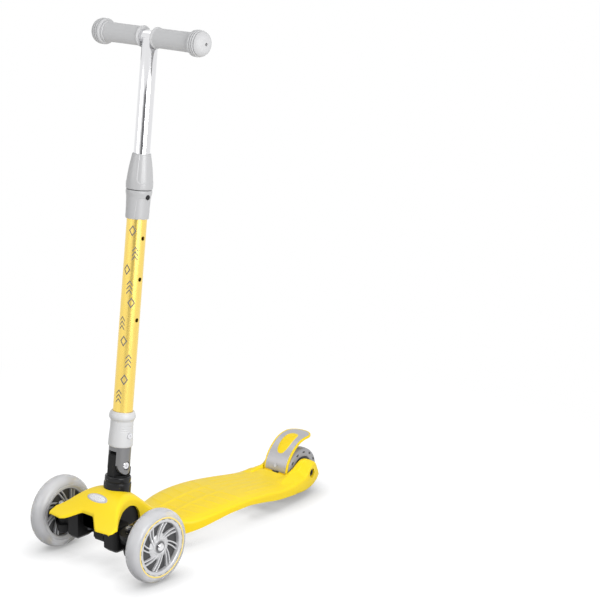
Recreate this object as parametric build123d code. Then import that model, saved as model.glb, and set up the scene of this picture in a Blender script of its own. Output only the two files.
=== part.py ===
from build123d import *
import os
from math import hypot

# Driving dimensions, in millimetres. Front faces -Y, rider's left is +X, ground is Z = 0.
WHEELBASE = 460.0
NOSE_REACH = 66.5
FRONT_R = 60.0
FRONT_W = 28.0
FRONT_X = 108.0
REAR_R = 40.0
REAR_W = 24.0
REAR_GAP = 3.4
STEM_Y = 23.0
STEM_Z = 127.4
RAKE = 5.8
BAR_HEIGHT = 713.0
GRIP_TIP = 116.5

# Clearances shared by every fit
RUNNING = 0.05
SEAT = 0.02
SLIDE_GAP = 0.3

# The frame's origin lies under the middle of the overall length
LENGTH = NOSE_REACH + WHEELBASE + REAR_R
FRONT_Y = NOSE_REACH - LENGTH / 2
STEM = Pos(0, FRONT_Y + STEM_Y, STEM_Z) * Rot(-RAKE, 0, 0)


def back(y):
    """Frame Y of a station measured backwards from the front axle."""
    return FRONT_Y + y


def rod(radius, start, end):
    return Pos(0, 0, start) * Cylinder(radius, end - start, align=(Align.CENTER, Align.CENTER, Align.MIN))


def pipe(outer, inner, start, end):
    return rod(outer, start, end) - rod(inner, start, end)


def bar_x(radius, start, end, y=0.0, z=0.0):
    """Round bar along X."""
    return Pos(0, y, z) * Rot(0, 90, 0) * rod(radius, start, end)


def block(x0, x1, y0, y1, z0, z1):
    return Pos((x0 + x1) / 2, (y0 + y1) / 2, (z0 + z1) / 2) * Box(x1 - x0, y1 - y0, z1 - z0)


def turned(*points):
    """Solid of revolution about Z from a closed (radius, height) outline."""
    return revolve(make_face(Plane.XZ * Polyline(*points, close=True)), Axis.Z)


def coil(radius, wire, start, end, turns):
    path = Helix(pitch=(end - start) / turns, height=end - start, radius=radius)
    section = Plane(path @ 0, z_dir=path % 0) * Circle(wire / 2)
    return Pos(0, 0, start) * sweep(section, path=path, is_frenet=True)


def both_sides(left):
    return left, mirror(left, about=Plane.YZ)


def side_face(edges):
    """Face in the YZ plane from edges drawn as (station, height)."""
    return Pos(0, FRONT_Y, 0) * (Plane.YZ * make_face(edges))


parts = {}

# Deck moulding: plan outline times side profile, hollowed from below
DECK_WALL = 4.5
DECK_SKIN = 5.0
SLOT_X = 28.5
SLOT_Y = WHEELBASE - REAR_R - 16.0
SLOT_END = SLOT_Y + 4.0
STAND_Y = 128.0
SIDE_END = 44.0


def stand(share):
    """Station at a share of the standing surface, from the foot of the neck to the rear slot."""
    return STAND_Y + share * (SLOT_Y - STAND_Y)


def tail(offset):
    """Station measured backwards from the rear axle."""
    return WHEELBASE + offset


DECK_TOP = [(-70, 86), (-44, 99.5), (-22, 116), (2, 124.5), (24, 122), (46, 108.8), (80, 80), (104, 62.5),
            (STAND_Y, 53), (stand(0.116), 54), (stand(0.297), 57.5), (stand(0.496), 55.5), (stand(0.75), 47),
            (SLOT_Y - 12, 43), (SLOT_END, 45)]


def side_run(inset):
    """Half plan from the notch of the nose along the side to the arm's end, moved inwards by inset."""
    horn = (70.2 - inset, -46.5 - inset / 2)
    waist = (32.4 - inset, 46)
    widest = (70.8 - inset, stand(0.312))
    nose_side = [horn, (57 - inset, -31), (43.5 - inset, -9), (34.5 - inset, 18), waist]
    neck_side = [waist, (35 - inset, 82), (43 - inset, 106), (57.5 - inset, stand(0.022)),
                 (66.5 - inset, stand(0.13)), widest]
    deck_side = [widest, (64.5 - inset, stand(0.696)), (55.5 - inset, tail(-42)), (SIDE_END - inset, tail(18))]
    return Curve() + [
        Line((0, inset - 43.6), (12.8, inset - 43.6)),
        Line((12.8, inset - 43.6), (39.5, inset - NOSE_REACH)),
        Line((39.5, inset - NOSE_REACH), (70.5 - inset, inset - 62.5)),
        Line((70.5 - inset, inset - 62.5), horn),
        Spline(*nose_side, tangents=[(-1, 1), (0, 1)]),
        Spline(*neck_side, tangents=[(0, 1), (0, 1)]),
        Spline(*deck_side, tangents=[(0, 1), (-0.3, 1)]),
    ]


def plan_slab(half):
    return Pos(0, FRONT_Y, 0) * extrude(make_face(half + mirror(half, about=Plane.YZ)), 200)


plan_solid = plan_slab(side_run(0) + [
    ThreePointArc((SIDE_END, tail(18)), (SIDE_END - 2.4, tail(28.5)), (SLOT_X + 8, tail(29))),
    Line((SLOT_X + 8, tail(29)), (SLOT_X, tail(10))),
    Line((SLOT_X, tail(10)), (SLOT_X, SLOT_END)),
    Line((SLOT_X, SLOT_END), (0, SLOT_END)),
])
pocket_slab = plan_slab(side_run(DECK_WALL) + Line((SIDE_END - DECK_WALL, tail(18)), (0, tail(18))))
rib_slab = plan_slab(side_run(DECK_WALL / 2) + Line((SIDE_END - DECK_WALL / 2, tail(18)), (0, tail(18))))

top_edge = Spline(*DECK_TOP)
low_edge = Curve() + [
    Line(top_edge @ 1, (SLOT_END, 17)),
    Spline((SLOT_END, 17), (stand(0.822), 22.7), (stand(0.63), 33), (stand(0.486), 39), (stand(0.34), 40),
           (stand(0.217), 37), (stand(0.08), 30.5), (112, 25), (82, 25), (60, 34), (45, 60), (40, 84),
           (30, 97), (14, 101.5), (-5, 100), (-31, 89.5), (-50, 85), (-70, 82)),
    Line((-70, 82), top_edge @ 0),
]
body_slab = extrude(side_face(top_edge + low_edge), 90, both=True)

arm_edges = Curve() + [
    Spline((SLOT_Y - 20, 43), (SLOT_Y, 45.5), (tail(-48), 47), (tail(-40), 49.5), (tail(-30), 54),
           (tail(-20), 60), (tail(-10), 64), (tail(-1), 63.5), (tail(8), 59.5), (tail(15), 53), (tail(22), 41.5),
           (tail(29), 30)),
    Line((tail(29), 30), (tail(28.2), 28)),
    Spline((tail(28.2), 28), (tail(16), 20.5), (tail(1), 15.8), (tail(-20), 14), (SLOT_Y, 17),
           (SLOT_Y - 20, 18.5)),
    Line((SLOT_Y - 20, 18.5), (SLOT_Y - 20, 43)),
]
arm_span = block(SLOT_X, 90, back(SLOT_Y - 24), back(tail(30)), 0, 90)
arm_slab = extrude(side_face(arm_edges), 90, both=True) & arm_span
arms = arm_slab + mirror(arm_slab, about=Plane.YZ)
outer = (body_slab + arms) & plan_solid

under_edges = Curve() + [
    top_edge,
    Line(top_edge @ 1, (SLOT_END, -10)),
    Line((SLOT_END, -10), (-70, -10)),
    Line((-70, -10), top_edge @ 0),
]
under_top = extrude(side_face(under_edges), 90, both=True)
POCKET_END = SLOT_Y - 12
pocket_span = block(-90, 90, back(-64), back(POCKET_END), -10, 130)
pocket = (Pos(0, 0, -DECK_SKIN) * under_top) & pocket_slab & pocket_span
deck = outer - pocket

RIB = 3.0
RIB_PITCH = 44.0
FIRST_RIB = 112.0
ribs = block(-RIB / 2, RIB / 2, back(60), back(POCKET_END + 3), 0, 130)
for x in (-30, 30):
    ribs += block(x - RIB / 2, x + RIB / 2, back(FIRST_RIB), back(POCKET_END + 3), 0, 130)
rib_count = int((POCKET_END - FIRST_RIB) / RIB_PITCH) + 1
for index in range(rib_count):
    station = back(FIRST_RIB + RIB_PITCH * index)
    ribs += block(-75, 75, station - RIB / 2, station + RIB / 2, 0, 130)
deck += ribs & (Pos(0, 0, 1) * body_slab) & (Pos(0, 0, -DECK_SKIN / 2) * under_top) & rib_slab

# Socket for the stem and bosses for the steering beam
SPIGOT_R = 17.0
SOCKET_R = SPIGOT_R + 0.15
SOCKET_END = -60.0
FLOOR = 6.0
BEAM_TOP = 84.0
BEAM_SCREW_R = 2.5
BEAM_SCREWS = [(x, back(y)) for x in (-18, 18) for y in (-21, -11)]
deck += (STEM * rod(SOCKET_R + 5, SOCKET_END - FLOOR, 20)) & under_top
for x, y in BEAM_SCREWS:
    deck += (Pos(x, y, 0) * rod(6, BEAM_TOP, 130)) & under_top
    deck -= Pos(x, y, 0) * rod(BEAM_SCREW_R + SEAT, BEAM_TOP - 1, 97)
deck -= STEM * rod(SOCKET_R, SOCKET_END, 40)
CROSS_LEVEL = -45.0
CROSS_BOLT_R = 3.0
deck -= STEM * bar_x(CROSS_BOLT_R + SEAT, -30, 30, 0, CROSS_LEVEL)

# Rear bores of the deck: axle with recesses, brake pin
REAR_Y = back(WHEELBASE)
AXLE_R = 4.0
HEAD_IN = 40.0
BRAKE_Y = back(tail(-1.16 * REAR_R))
BRAKE_Z = 0.925 * REAR_R
BRAKE_PIN_R = 2.5
deck -= bar_x(AXLE_R + SEAT, -60, 60, REAR_Y, REAR_R)
for recess in both_sides(bar_x(7.2, HEAD_IN, 60, REAR_Y, REAR_R)):
    deck -= recess
deck -= bar_x(BRAKE_PIN_R + SEAT, -36, 36, BRAKE_Y, BRAKE_Z)
parts["deck"] = deck

# Oval badge on the nose
badge_plan = Pos(0, back(-21.5), 0) * extrude(Ellipse(21.5, 6.5), 200)
parts["nose_badge"] = ((Pos(0, 0, 1.0) * under_top) - (Pos(0, 0, SEAT) * under_top)) & badge_plan

# Steering beam: centre bar, two side boxes and the kingpin eyes, kingpins leaning forwards
KING_X = 76.0
KING_TILT = 15.0
KING_Z = 66.0
KING = Pos(KING_X, back(-22), KING_Z) * Rot(KING_TILT, 0, 0)
KING_R = 4.0
EYE_R = 10.5
EYE_HALF = 8.2
BAR_LOW = 62.0
BOX_LOW = 40.5
beam = block(-45, 45, back(-26), back(-6), BAR_LOW, BEAM_TOP)
box = block(29.6, 57.5, back(-36.5), back(-4), BOX_LOW, BEAM_TOP)
box = fillet(box.edges().filter_by(Axis.Z).sort_by(Axis.X)[-2:], 9)
box = chamfer(box.faces().sort_by(Axis.Z)[0].edges(), 5)
neck = KING * (block(-30, 0, -7, 7, -EYE_HALF, EYE_HALF) + rod(EYE_R, -EYE_HALF, EYE_HALF))
side = box + neck
for piece in both_sides(side):
    beam += piece
for piece in both_sides(KING * rod(KING_R + SEAT, -30, 30)):
    beam -= piece
screw_heads = []
for x, y in BEAM_SCREWS:
    beam -= Pos(x, y, 0) * rod(BEAM_SCREW_R + SEAT, 40, 100)
    screw_heads.append(Pos(x, y, 0) * (rod(BEAM_SCREW_R, BAR_LOW - 1, 95) + rod(4.6, BAR_LOW - 3.2, BAR_LOW)))
parts["steering_beam"] = beam
parts["beam_screws"] = Compound(children=screw_heads)

BARREL_R = 16.0
BARREL_LOW = -22.0
BARREL_TOP = 17.0
kingpin = rod(KING_R, BARREL_LOW - SLIDE_GAP - 1, 25)
kingpin += Pos(0, 0, BARREL_LOW - SLIDE_GAP - 5) * extrude(RegularPolygon(6.5, 6), 5)
nut = Pos(0, 0, BARREL_TOP + SLIDE_GAP) * extrude(RegularPolygon(6.5, 6), 5.5) - rod(KING_R + SEAT, 0, 40)
parts["kingpins"] = Compound(children=both_sides(KING * kingpin))
parts["kingpin_nuts"] = Compound(children=both_sides(KING * nut))

# Knuckles: slotted barrel, axle boss and stub, arm for the tie rod
BUSH_R = 6.0
EYE_GAP = 0.3
HUB_HALF = 9.5
ARM = 20.0
ROD_LEVEL = -28.0
ROD_PIN_R = 3.0
AXLE_IN = 69.0
STUB_END = FRONT_X - HUB_HALF - SLIDE_GAP
barrel = rod(BARREL_R, BARREL_LOW, BARREL_TOP)
barrel -= block(-20, 11.5, -20, 20, -EYE_HALF - EYE_GAP, EYE_HALF + EYE_GAP)
barrel += block(-10, 11, 0, ARM + 2, BARREL_LOW, -EYE_HALF - 1)
barrel += block(11.5, 15, 0, 15, BARREL_LOW, 9)
barrel += block(-8, 8, ARM - 6, ARM, BARREL_LOW, -16) + Pos(0, ARM, 0) * rod(8, BARREL_LOW, -16)
barrel += Pos(0, ARM, 0) * rod(ROD_PIN_R, -34, BARREL_LOW)
knuckle = KING * barrel + bar_x(10, AXLE_IN, 86, back(0), FRONT_R) + bar_x(7.5, 85, STUB_END, back(0), FRONT_R)
knuckle -= KING * rod(BUSH_R + SEAT, -40, 40)
knuckle -= KING * rod(EYE_R + 0.8, -EYE_HALF - EYE_GAP, EYE_HALF + EYE_GAP)
knuckle -= bar_x(AXLE_R + SEAT, 60, 120, back(0), FRONT_R)
parts["knuckle_left"], parts["knuckle_right"] = both_sides(knuckle)
low_bush = pipe(BUSH_R, KING_R + RUNNING, BARREL_LOW, -EYE_HALF - EYE_GAP)
top_bush = pipe(BUSH_R, KING_R + RUNNING, EYE_HALF + EYE_GAP, BARREL_TOP)
bushes = both_sides(Compound(children=[KING * low_bush, KING * top_bush]))
parts["kingpin_bushes_left"], parts["kingpin_bushes_right"] = bushes
axle = bar_x(AXLE_R, AXLE_IN + 0.5, FRONT_X + HUB_HALF + 1, back(0), FRONT_R)
head = Pos(FRONT_X + HUB_HALF + SLIDE_GAP, back(0), FRONT_R) * Rot(0, 90, 0) * turned(
    (0, 0), (6.5, 0), (6.5, 1.6), (5.0, 3.2), (2.6, 4.0), (0, 4.0))
parts["front_axle_left"], parts["front_axle_right"] = both_sides(axle + head)

# Tie rod behind the beam, sprung to the middle inside its housing
ROD_R = 3.5
ROD_EYE = 6.5
COLLAR_HALF = 3.0
HOUSE_HALF = 26.0
HOUSE_WALL = 2.5
HOUSE_OUT = 9.5
ROD = Pos(0, back(-22), KING_Z) * Rot(KING_TILT, 0, 0) * Pos(0, ARM, ROD_LEVEL)
tie_rod = bar_x(ROD_R, -KING_X, KING_X) + bar_x(6.0, -COLLAR_HALF, COLLAR_HALF)
for x in (-KING_X, KING_X):
    tie_rod += Pos(x, 0, 0) * rod(ROD_EYE, -4, 4)
    tie_rod -= Pos(x, 0, 0) * rod(ROD_PIN_R + RUNNING, -10, 10)
parts["tie_rod"] = ROD * tie_rod
housing = Box(2 * HOUSE_HALF, 2 * HOUSE_OUT, 2 * HOUSE_OUT)
housing = fillet(housing.edges().filter_by(Axis.X), 3)
hollow = HOUSE_OUT - HOUSE_WALL
housing -= Box(2 * (HOUSE_HALF - HOUSE_WALL), 2 * hollow, 2 * hollow)
housing -= Box(60, 2 * (ROD_R + 1.6), 2 * (ROD_R + 1.0))
bracket = block(-11, 11, back(-20), back(2), 47, 53) + block(-11, 11, back(-20), back(-8), 47, BAR_LOW - SEAT)
housing = ROD * housing + (bracket - ROD * Box(60, 2 * hollow, 2 * hollow))
parts["spring_housing"] = housing
spring = coil(5.0, 1.4, COLLAR_HALF + 0.9, HOUSE_HALF - HOUSE_WALL - 0.9, 5)
springs = both_sides(Rot(0, 90, 0) * spring)
parts["centring_spring_left"], parts["centring_spring_right"] = [ROD * piece for piece in springs]

# Stem base: spigot in the socket, hinge tongue above, glossy collar around its foot
PIVOT = 34.9
TONGUE = 7.75
TONGUE_R = 22.3
COLLAR_TOP = 16.0
TONGUE_LOW = COLLAR_TOP + 0.1
base = rod(SPIGOT_R, SOCKET_END + SEAT, COLLAR_TOP + 2)
tongue = block(-TONGUE, TONGUE, -17.3, 17.3, TONGUE_LOW, 60) & bar_x(TONGUE_R, -20, 20, 0, PIVOT)
tongue += block(-TONGUE, TONGUE, -17.3, 17.3, TONGUE_LOW, PIVOT)
tongue += block(-TONGUE, TONGUE, 10, 20, TONGUE_LOW, 28)
tongue -= block(-20, 20, -4.3, 4.3, 53.5, 70)
FOLD_R = 4.0
base += tongue
base -= bar_x(FOLD_R + RUNNING, -20, 20, 0, PIVOT)
base -= bar_x(CROSS_BOLT_R + SEAT, -30, 30, 0, CROSS_LEVEL)
parts["stem_base"] = STEM * base
collar = turned((SPIGOT_R + SEAT, -18), (22.2, -18), (22.2, 5.5), (20.4, 6), (20.4, 7), (21.2, 7.5),
                (21.2, COLLAR_TOP - 1), (20.6, COLLAR_TOP), (SPIGOT_R + SEAT, COLLAR_TOP))
parts["stem_collar"] = STEM * collar - (Pos(0, 0, SEAT) * under_top)
socket_out = SOCKET_R + 5
cross_bolt = bar_x(CROSS_BOLT_R, -socket_out - 6, socket_out + 1, 0, CROSS_LEVEL)
cross_bolt += bar_x(5.0, socket_out + SEAT, socket_out + 3.5, 0, CROSS_LEVEL)
cross_bolt += bar_x(5.2, -socket_out - 5, -socket_out - SEAT, 0, CROSS_LEVEL)
parts["stem_cross_bolt"] = STEM * cross_bolt

# Fork that folds about the tongue, with the bore for the lock plunger
FORK_R = 18.0
FORK_TOP = 67.0
SLOT_HALF = TONGUE + SLIDE_GAP
SLOT_TOP = 58.0
TUBE_R = 16.0
TUBE_WALL = 1.7
TUBE_BORE = TUBE_R - TUBE_WALL
PLUNGER_R = 8.0
PLUNGER_TOP = 100.0
BORE_END = 130.0
PIN_LEVEL = 84.6
LIFT = 18.0
PIN_R = 2.5
WINDOW = PIN_R + 0.7
CHEEK_R = 14.2
cheeks = rod(FORK_R, 0, PIVOT) & bar_x(CHEEK_R, -20, 20, 0, PIVOT)
fork = cheeks + rod(FORK_R, PIVOT, FORK_TOP) + rod(TUBE_BORE - 0.05, FORK_TOP, BORE_END + 6)
fork -= block(-SLOT_HALF, SLOT_HALF, -30, 30, 0, SLOT_TOP)
fork -= rod(PLUNGER_R + RUNNING, SLOT_TOP - 1, BORE_END)
window = block(-30, 30, -WINDOW, WINDOW, PIN_LEVEL, PIN_LEVEL + LIFT)
window += bar_x(WINDOW, -30, 30, 0, PIN_LEVEL) + bar_x(WINDOW, -30, 30, 0, PIN_LEVEL + LIFT)
fork -= window
fork -= bar_x(FOLD_R + SEAT, -30, 30, 0, PIVOT)
HEAD_SEAT = FORK_R - 4.4
fork -= bar_x(7.2, HEAD_SEAT, 30, 0, PIVOT)
parts["fold_fork"] = STEM * fork
fold_bolt = bar_x(FOLD_R, -FORK_R + 0.8, HEAD_SEAT + 0.2, 0, PIVOT)
fold_bolt += Pos(HEAD_SEAT + SEAT, 0, PIVOT) * Rot(0, 90, 0) * turned(
    (0, 0), (6.6, 0), (6.6, 2.0), (5.4, 3.2), (0, 3.2))
fold_bolt -= Pos(HEAD_SEAT + 1.2, 0, PIVOT) * Rot(0, 90, 0) * extrude(RegularPolygon(2.6, 6), 5)
parts["fold_bolt"] = STEM * fold_bolt

# Stem tube with the height holes on the left side
TUBE_TOP = 490.0
BUTTON_LEVEL = 467.5
HOLE_PITCH = 65.2
HOLE_R = 3.4
tube = pipe(TUBE_R, TUBE_BORE, FORK_TOP, TUBE_TOP) - window
for index in range(4):
    tube -= bar_x(HOLE_R, 5, 30, 0, BUTTON_LEVEL - HOLE_PITCH * index)
parts["stem_tube"] = STEM * tube

# Lock sleeve, plunger, spring and the two shoulder screws
SLEEVE_LOW = FORK_TOP - 2.0
SLEEVE_STEP = FORK_TOP + 2.0
sleeve = turned((TUBE_R + SLIDE_GAP, SLEEVE_STEP), (FORK_R + SLIDE_GAP, SLEEVE_STEP),
                (FORK_R + SLIDE_GAP, SLEEVE_LOW), (19.3, SLEEVE_LOW), (19.8, SLEEVE_LOW + 2), (19.6, 76),
                (18.5, 98), (18.5, 107), (19.8, 109), (21.3, 112), (21.4, 115.5), (20.3, 119.5), (18.5, 122.3),
                (TUBE_R + SLIDE_GAP, 122.3))
sleeve -= bar_x(PIN_R + SEAT, -30, 30, 0, PIN_LEVEL)
for recess in both_sides(bar_x(4.9, 18.0, 30, 0, PIN_LEVEL)):
    sleeve -= recess
parts["lock_sleeve"] = STEM * sleeve
plunger = rod(PLUNGER_R, SLOT_TOP, PLUNGER_TOP) - bar_x(PIN_R + SEAT, -20, 20, 0, PIN_LEVEL)
parts["lock_plunger"] = STEM * plunger
sleeve_screw = bar_x(PIN_R, 1.0, 18.5, 0, PIN_LEVEL) + bar_x(4.6, 18.0 + SEAT, 20.2, 0, PIN_LEVEL)
sleeve_screw -= Pos(19.2, 0, PIN_LEVEL) * Rot(0, 90, 0) * extrude(RegularPolygon(2.0, 6), 3)
parts["sleeve_screws"] = STEM * Compound(children=both_sides(sleeve_screw))
parts["lock_spring"] = STEM * coil(6.0, 1.5, PLUNGER_TOP + 0.9, BORE_END - 0.9, 7)

# Clamp shells at the tube's top, inner bush and the height button
CLAMP_LOW = 432.3
CLAMP_SPLIT = 477.5
CLAMP_TOP = 534.0
BAR_R = 12.7
BUTTON_R = 4.05
GRIP_ON_TUBE = TUBE_R + SEAT
lower_clamp = turned((GRIP_ON_TUBE, CLAMP_LOW), (18.4, CLAMP_LOW), (19.0, CLAMP_LOW + 1.2),
                     (19.5, CLAMP_SPLIT - 11), (20.8, CLAMP_SPLIT - 4), (20.8, CLAMP_SPLIT - 1),
                     (20.3, CLAMP_SPLIT), (GRIP_ON_TUBE, CLAMP_SPLIT))
lower_clamp -= bar_x(BUTTON_R + RUNNING, 5, 30, 0, BUTTON_LEVEL)
parts["lower_clamp"] = STEM * lower_clamp
UPPER_LOW = CLAMP_SPLIT + 1.0
BUSH_END = CLAMP_TOP - 5.0
upper_clamp = turned((GRIP_ON_TUBE, UPPER_LOW), (20.5, UPPER_LOW), (21.2, UPPER_LOW + 2),
                     (21.3, CLAMP_TOP - 45), (19.6, CLAMP_TOP - 26), (16.4, CLAMP_TOP - 7),
                     (15.4, CLAMP_TOP - 1), (14.8, CLAMP_TOP), (BAR_R + SLIDE_GAP, CLAMP_TOP),
                     (BAR_R + SLIDE_GAP, BUSH_END), (TUBE_BORE, BUSH_END), (TUBE_BORE, TUBE_TOP + SEAT),
                     (GRIP_ON_TUBE, TUBE_TOP + SEAT))
parts["upper_clamp"] = STEM * upper_clamp
parts["tube_bush"] = STEM * pipe(TUBE_BORE - SEAT, BAR_R + RUNNING, TUBE_TOP + 0.1, BUSH_END - 0.1)
BUTTON_IN = TUBE_R + 0.3
BUTTON_STROKE = 3.0
button = bar_x(HOLE_R - 2 * RUNNING, BUTTON_IN, BUTTON_IN + BUTTON_STROKE + 1, 0, BUTTON_LEVEL)
button += bar_x(BUTTON_R, BUTTON_IN + BUTTON_STROKE, 21.2, 0, BUTTON_LEVEL)
button = fillet(button.edges().sort_by(Axis.X)[-1], 1.0)
parts["height_button"] = STEM * button

# Handlebar: upright welded under the cross tube, grips, snap clip and end plug
BAR_WALL = 1.5
CROSS_R = 11.0
CROSS_HALF = GRIP_TIP - 9.5
BAR_END = 432.0
upright = pipe(BAR_R, BAR_R - BAR_WALL, BAR_END, BAR_HEIGHT)
upright -= bar_x(CROSS_R + SEAT, -CROSS_HALF, CROSS_HALF, 0, BAR_HEIGHT)
upright -= block(-20, 20, -20, 20, BAR_HEIGHT - 2, BAR_HEIGHT + 10)
upright -= bar_x(HOLE_R, 5, 20, 0, BUTTON_LEVEL)
parts["handlebar_upright"] = STEM * upright
cross = bar_x(CROSS_R, -CROSS_HALF, CROSS_HALF, 0, BAR_HEIGHT)
cross -= bar_x(CROSS_R - BAR_WALL, -CROSS_HALF - 1, CROSS_HALF + 1, 0, BAR_HEIGHT)
parts["handlebar_cross"] = STEM * cross
GRIP_BORE = CROSS_R + SEAT
BULB = GRIP_TIP - 27.5
grip = turned((GRIP_BORE, 14), (16.6, 14), (17.4, 14.7), (17.4, 16), (15.8, 17.6), (15.2, 19), (15.2, 50),
              (15.7, BULB), (16.9, BULB + 0.8), (17.3, BULB + 3), (19.6, BULB + 4.2), (20.4, BULB + 7),
              (20.5, BULB + 11), (20.0, BULB + 16), (18.4, BULB + 20.5), (15.2, BULB + 24.2), (11, BULB + 26.2),
              (2.5, GRIP_TIP),
              (2.5, CROSS_HALF + 0.5), (GRIP_BORE, CROSS_HALF + 0.5))
grips = both_sides(Pos(0, 0, BAR_HEIGHT) * Rot(0, 90, 0) * grip)
parts["grip_left"], parts["grip_right"] = [STEM * piece for piece in grips]
BAR_BORE = BAR_R - BAR_WALL
PIN_ROOT = BAR_BORE - 2.4
LEAF_LOW = BUTTON_LEVEL - 21.5
leaf = Polyline((PIN_ROOT, BUTTON_LEVEL + 8), (PIN_ROOT, BUTTON_LEVEL - 8), (4.0, LEAF_LOW),
                (-4.0, LEAF_LOW), (1.4 - BAR_BORE, BUTTON_LEVEL - 5.5), (1.4 - BAR_BORE, BUTTON_LEVEL + 12.5))
clip = extrude(Plane.XZ * trace(leaf, 0.9), 3.5, both=True)
clip += bar_x(HOLE_R - 0.15, PIN_ROOT, TUBE_R, 0, BUTTON_LEVEL)
parts["snap_clip"] = STEM * clip
plug = rod(TUBE_BORE - SLIDE_GAP, BAR_END - 7, BAR_END)
plug += rod(BAR_BORE - SEAT, BAR_END - 1, BAR_END + 11)
parts["tube_plug"] = STEM * plug

# Front wheels: tyre, spoked core, coloured ring, two bearings
CORE_R = 45.0
RING_R = 48.0
BEARING_R = 11.0
BEARING_W = 7.0
SPOKES = 8
half_w = FRONT_W / 2
tyre = turned((CORE_R, -12), (46.5, -13.4), (50, -half_w), (54.5, -12.8), (58, -9.5), (59.6, -5), (FRONT_R, 0),
              (59.6, 5), (58, 9.5), (54.5, 12.8), (50, half_w), (46.5, 13.4), (CORE_R, 12))
ring = turned((RING_R - 0.9, 13.2), (RING_R + 0.9, 13.2), (RING_R + 0.9, 14.0), (RING_R - 0.9, 14.0))
tyre -= turned((RING_R - 0.9 - SEAT, 13.2 - SEAT), (RING_R + 0.9 + SEAT, 13.2 - SEAT),
               (RING_R + 0.9 + SEAT, 16), (RING_R - 0.9 - SEAT, 16))
core = pipe(CORE_R - SEAT, 40, -11, 11) + rod(14.5, -HUB_HALF, HUB_HALF) + pipe(40.5, 14, -1.5, 1.5)
swirl = ThreePointArc((12, 0), (27, -5), (36, -20.5))
spoke = extrude(trace(swirl, 5.0), 8, both=True)
for index in range(SPOKES):
    core += Rot(0, 0, 360 / SPOKES * index) * spoke
core -= rod(8.0, -30, 30)
for start in (-HUB_HALF - 1, HUB_HALF - BEARING_W):
    core -= rod(BEARING_R + SEAT, start, start + BEARING_W + 1)
bearing = pipe(BEARING_R, AXLE_R + RUNNING, 0, BEARING_W)
bearings = [Pos(0, 0, start) * bearing for start in (-HUB_HALF, HUB_HALF - BEARING_W)]
for name, x, turn in (("left", FRONT_X, 90), ("right", -FRONT_X, -90)):
    place = Pos(x, back(0), FRONT_R) * Rot(0, turn, 0)
    parts["front_tyre_" + name] = place * tyre
    parts["front_core_" + name] = place * core
    parts["front_ring_" + name] = place * ring
    parts["front_bearings_" + name] = place * Compound(children=bearings)

# Rear twin wheels, axle, nut and spacers
REAR_X = (REAR_W + REAR_GAP) / 2
REAR_CORE = 29.0
half_w = REAR_W / 2
tread = [(REAR_CORE, half_w - 1), (REAR_CORE + 1, half_w), (REAR_R - 5, half_w), (REAR_R - 1.8, half_w - 1.6),
         (REAR_R - 0.4, half_w - 5.5)]
rear_tyre = turned(*tread, (REAR_R, 0), *[(radius, -along) for radius, along in reversed(tread)])
rear_core = pipe(REAR_CORE - SEAT, 25, -10, 10) + rod(14, -half_w, half_w) + pipe(26, 13, -3, 3)
rear_core -= rod(8, -30, 30)
for start in (-half_w - 1, half_w - BEARING_W):
    rear_core -= rod(BEARING_R + SEAT, start, start + BEARING_W + 1)
rear_bearings = [Pos(0, 0, start) * bearing for start in (-half_w, half_w - BEARING_W)]
for name, x, turn in (("left", REAR_X, 90), ("right", -REAR_X, -90)):
    place = Pos(x, REAR_Y, REAR_R) * Rot(0, turn, 0)
    parts["rear_tyre_" + name] = place * rear_tyre
    parts["rear_core_" + name] = place * rear_core
    parts["rear_bearings_" + name] = place * Compound(children=rear_bearings)
rear_axle = bar_x(AXLE_R, -HEAD_IN - 6, HEAD_IN + 0.5, REAR_Y, REAR_R)
rear_axle += bar_x(6.2, HEAD_IN + SEAT, HEAD_IN + 5, REAR_Y, REAR_R)
rear_axle -= Pos(HEAD_IN + 2, REAR_Y, REAR_R) * Rot(0, 90, 0) * extrude(RegularPolygon(3.0, 6), 5)
parts["rear_axle"] = rear_axle
nut = extrude(RegularPolygon(6.6, 6), 5.0) - rod(AXLE_R + SEAT, -1, 9)
parts["rear_axle_nut"] = Pos(-HEAD_IN - SEAT, REAR_Y, REAR_R) * Rot(0, -90, 0) * nut
washer_gap = 0.2
wheel_out = REAR_X + half_w + washer_gap
spacer = Pos(0, REAR_Y, REAR_R) * Rot(0, 90, 0) * pipe(6.5, AXLE_R + SEAT, wheel_out, SLOT_X - SEAT)
middle = REAR_GAP / 2 - washer_gap
mid_spacer = Pos(0, REAR_Y, REAR_R) * Rot(0, 90, 0) * pipe(6.5, AXLE_R + SEAT, -middle, middle)
parts["rear_spacers"] = Compound(children=[*both_sides(spacer), mid_spacer])

# Rear brake: yellow carrier, steel plate on it, ribbed pad through the plate, rivet, pin and spring
BRAKE_SHAPE = [(-1.13, 1.1125), (-1.0675, 1.425), (-0.9375, 1.7125), (-0.5875, 2.125), (-0.225, 2.375),
               (0.25, 2.4925), (0.6, 2.51), (0.9, 2.51)]
BRAKE_CURVE = [(tail(along * REAR_R), height * REAR_R) for along, height in BRAKE_SHAPE]
BRAKE_HALF = 26.0
PLATE_T = 1.2
CARRIER_T = 3.8


def curve_offset(depth):
    """Brake curve moved by depth towards the wheel."""
    moved = []
    last = len(BRAKE_CURVE) - 1
    for index, (y, z) in enumerate(BRAKE_CURVE):
        before = BRAKE_CURVE[max(index - 1, 0)]
        after = BRAKE_CURVE[min(index + 1, last)]
        along = (after[0] - before[0], after[1] - before[1])
        size = hypot(*along)
        moved.append((y + along[1] / size * depth, z - along[0] / size * depth))
    return moved


def brake_layer(outside, inside, half_width):
    """Curved slab between two depths below the brake's top curve."""
    top = Spline(*curve_offset(outside))
    low = Spline(*curve_offset(inside))
    edges = Curve() + [top, low, Line(top @ 0, low @ 0), Line(top @ 1, low @ 1)]
    return extrude(side_face(edges), half_width, both=True)


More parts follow.
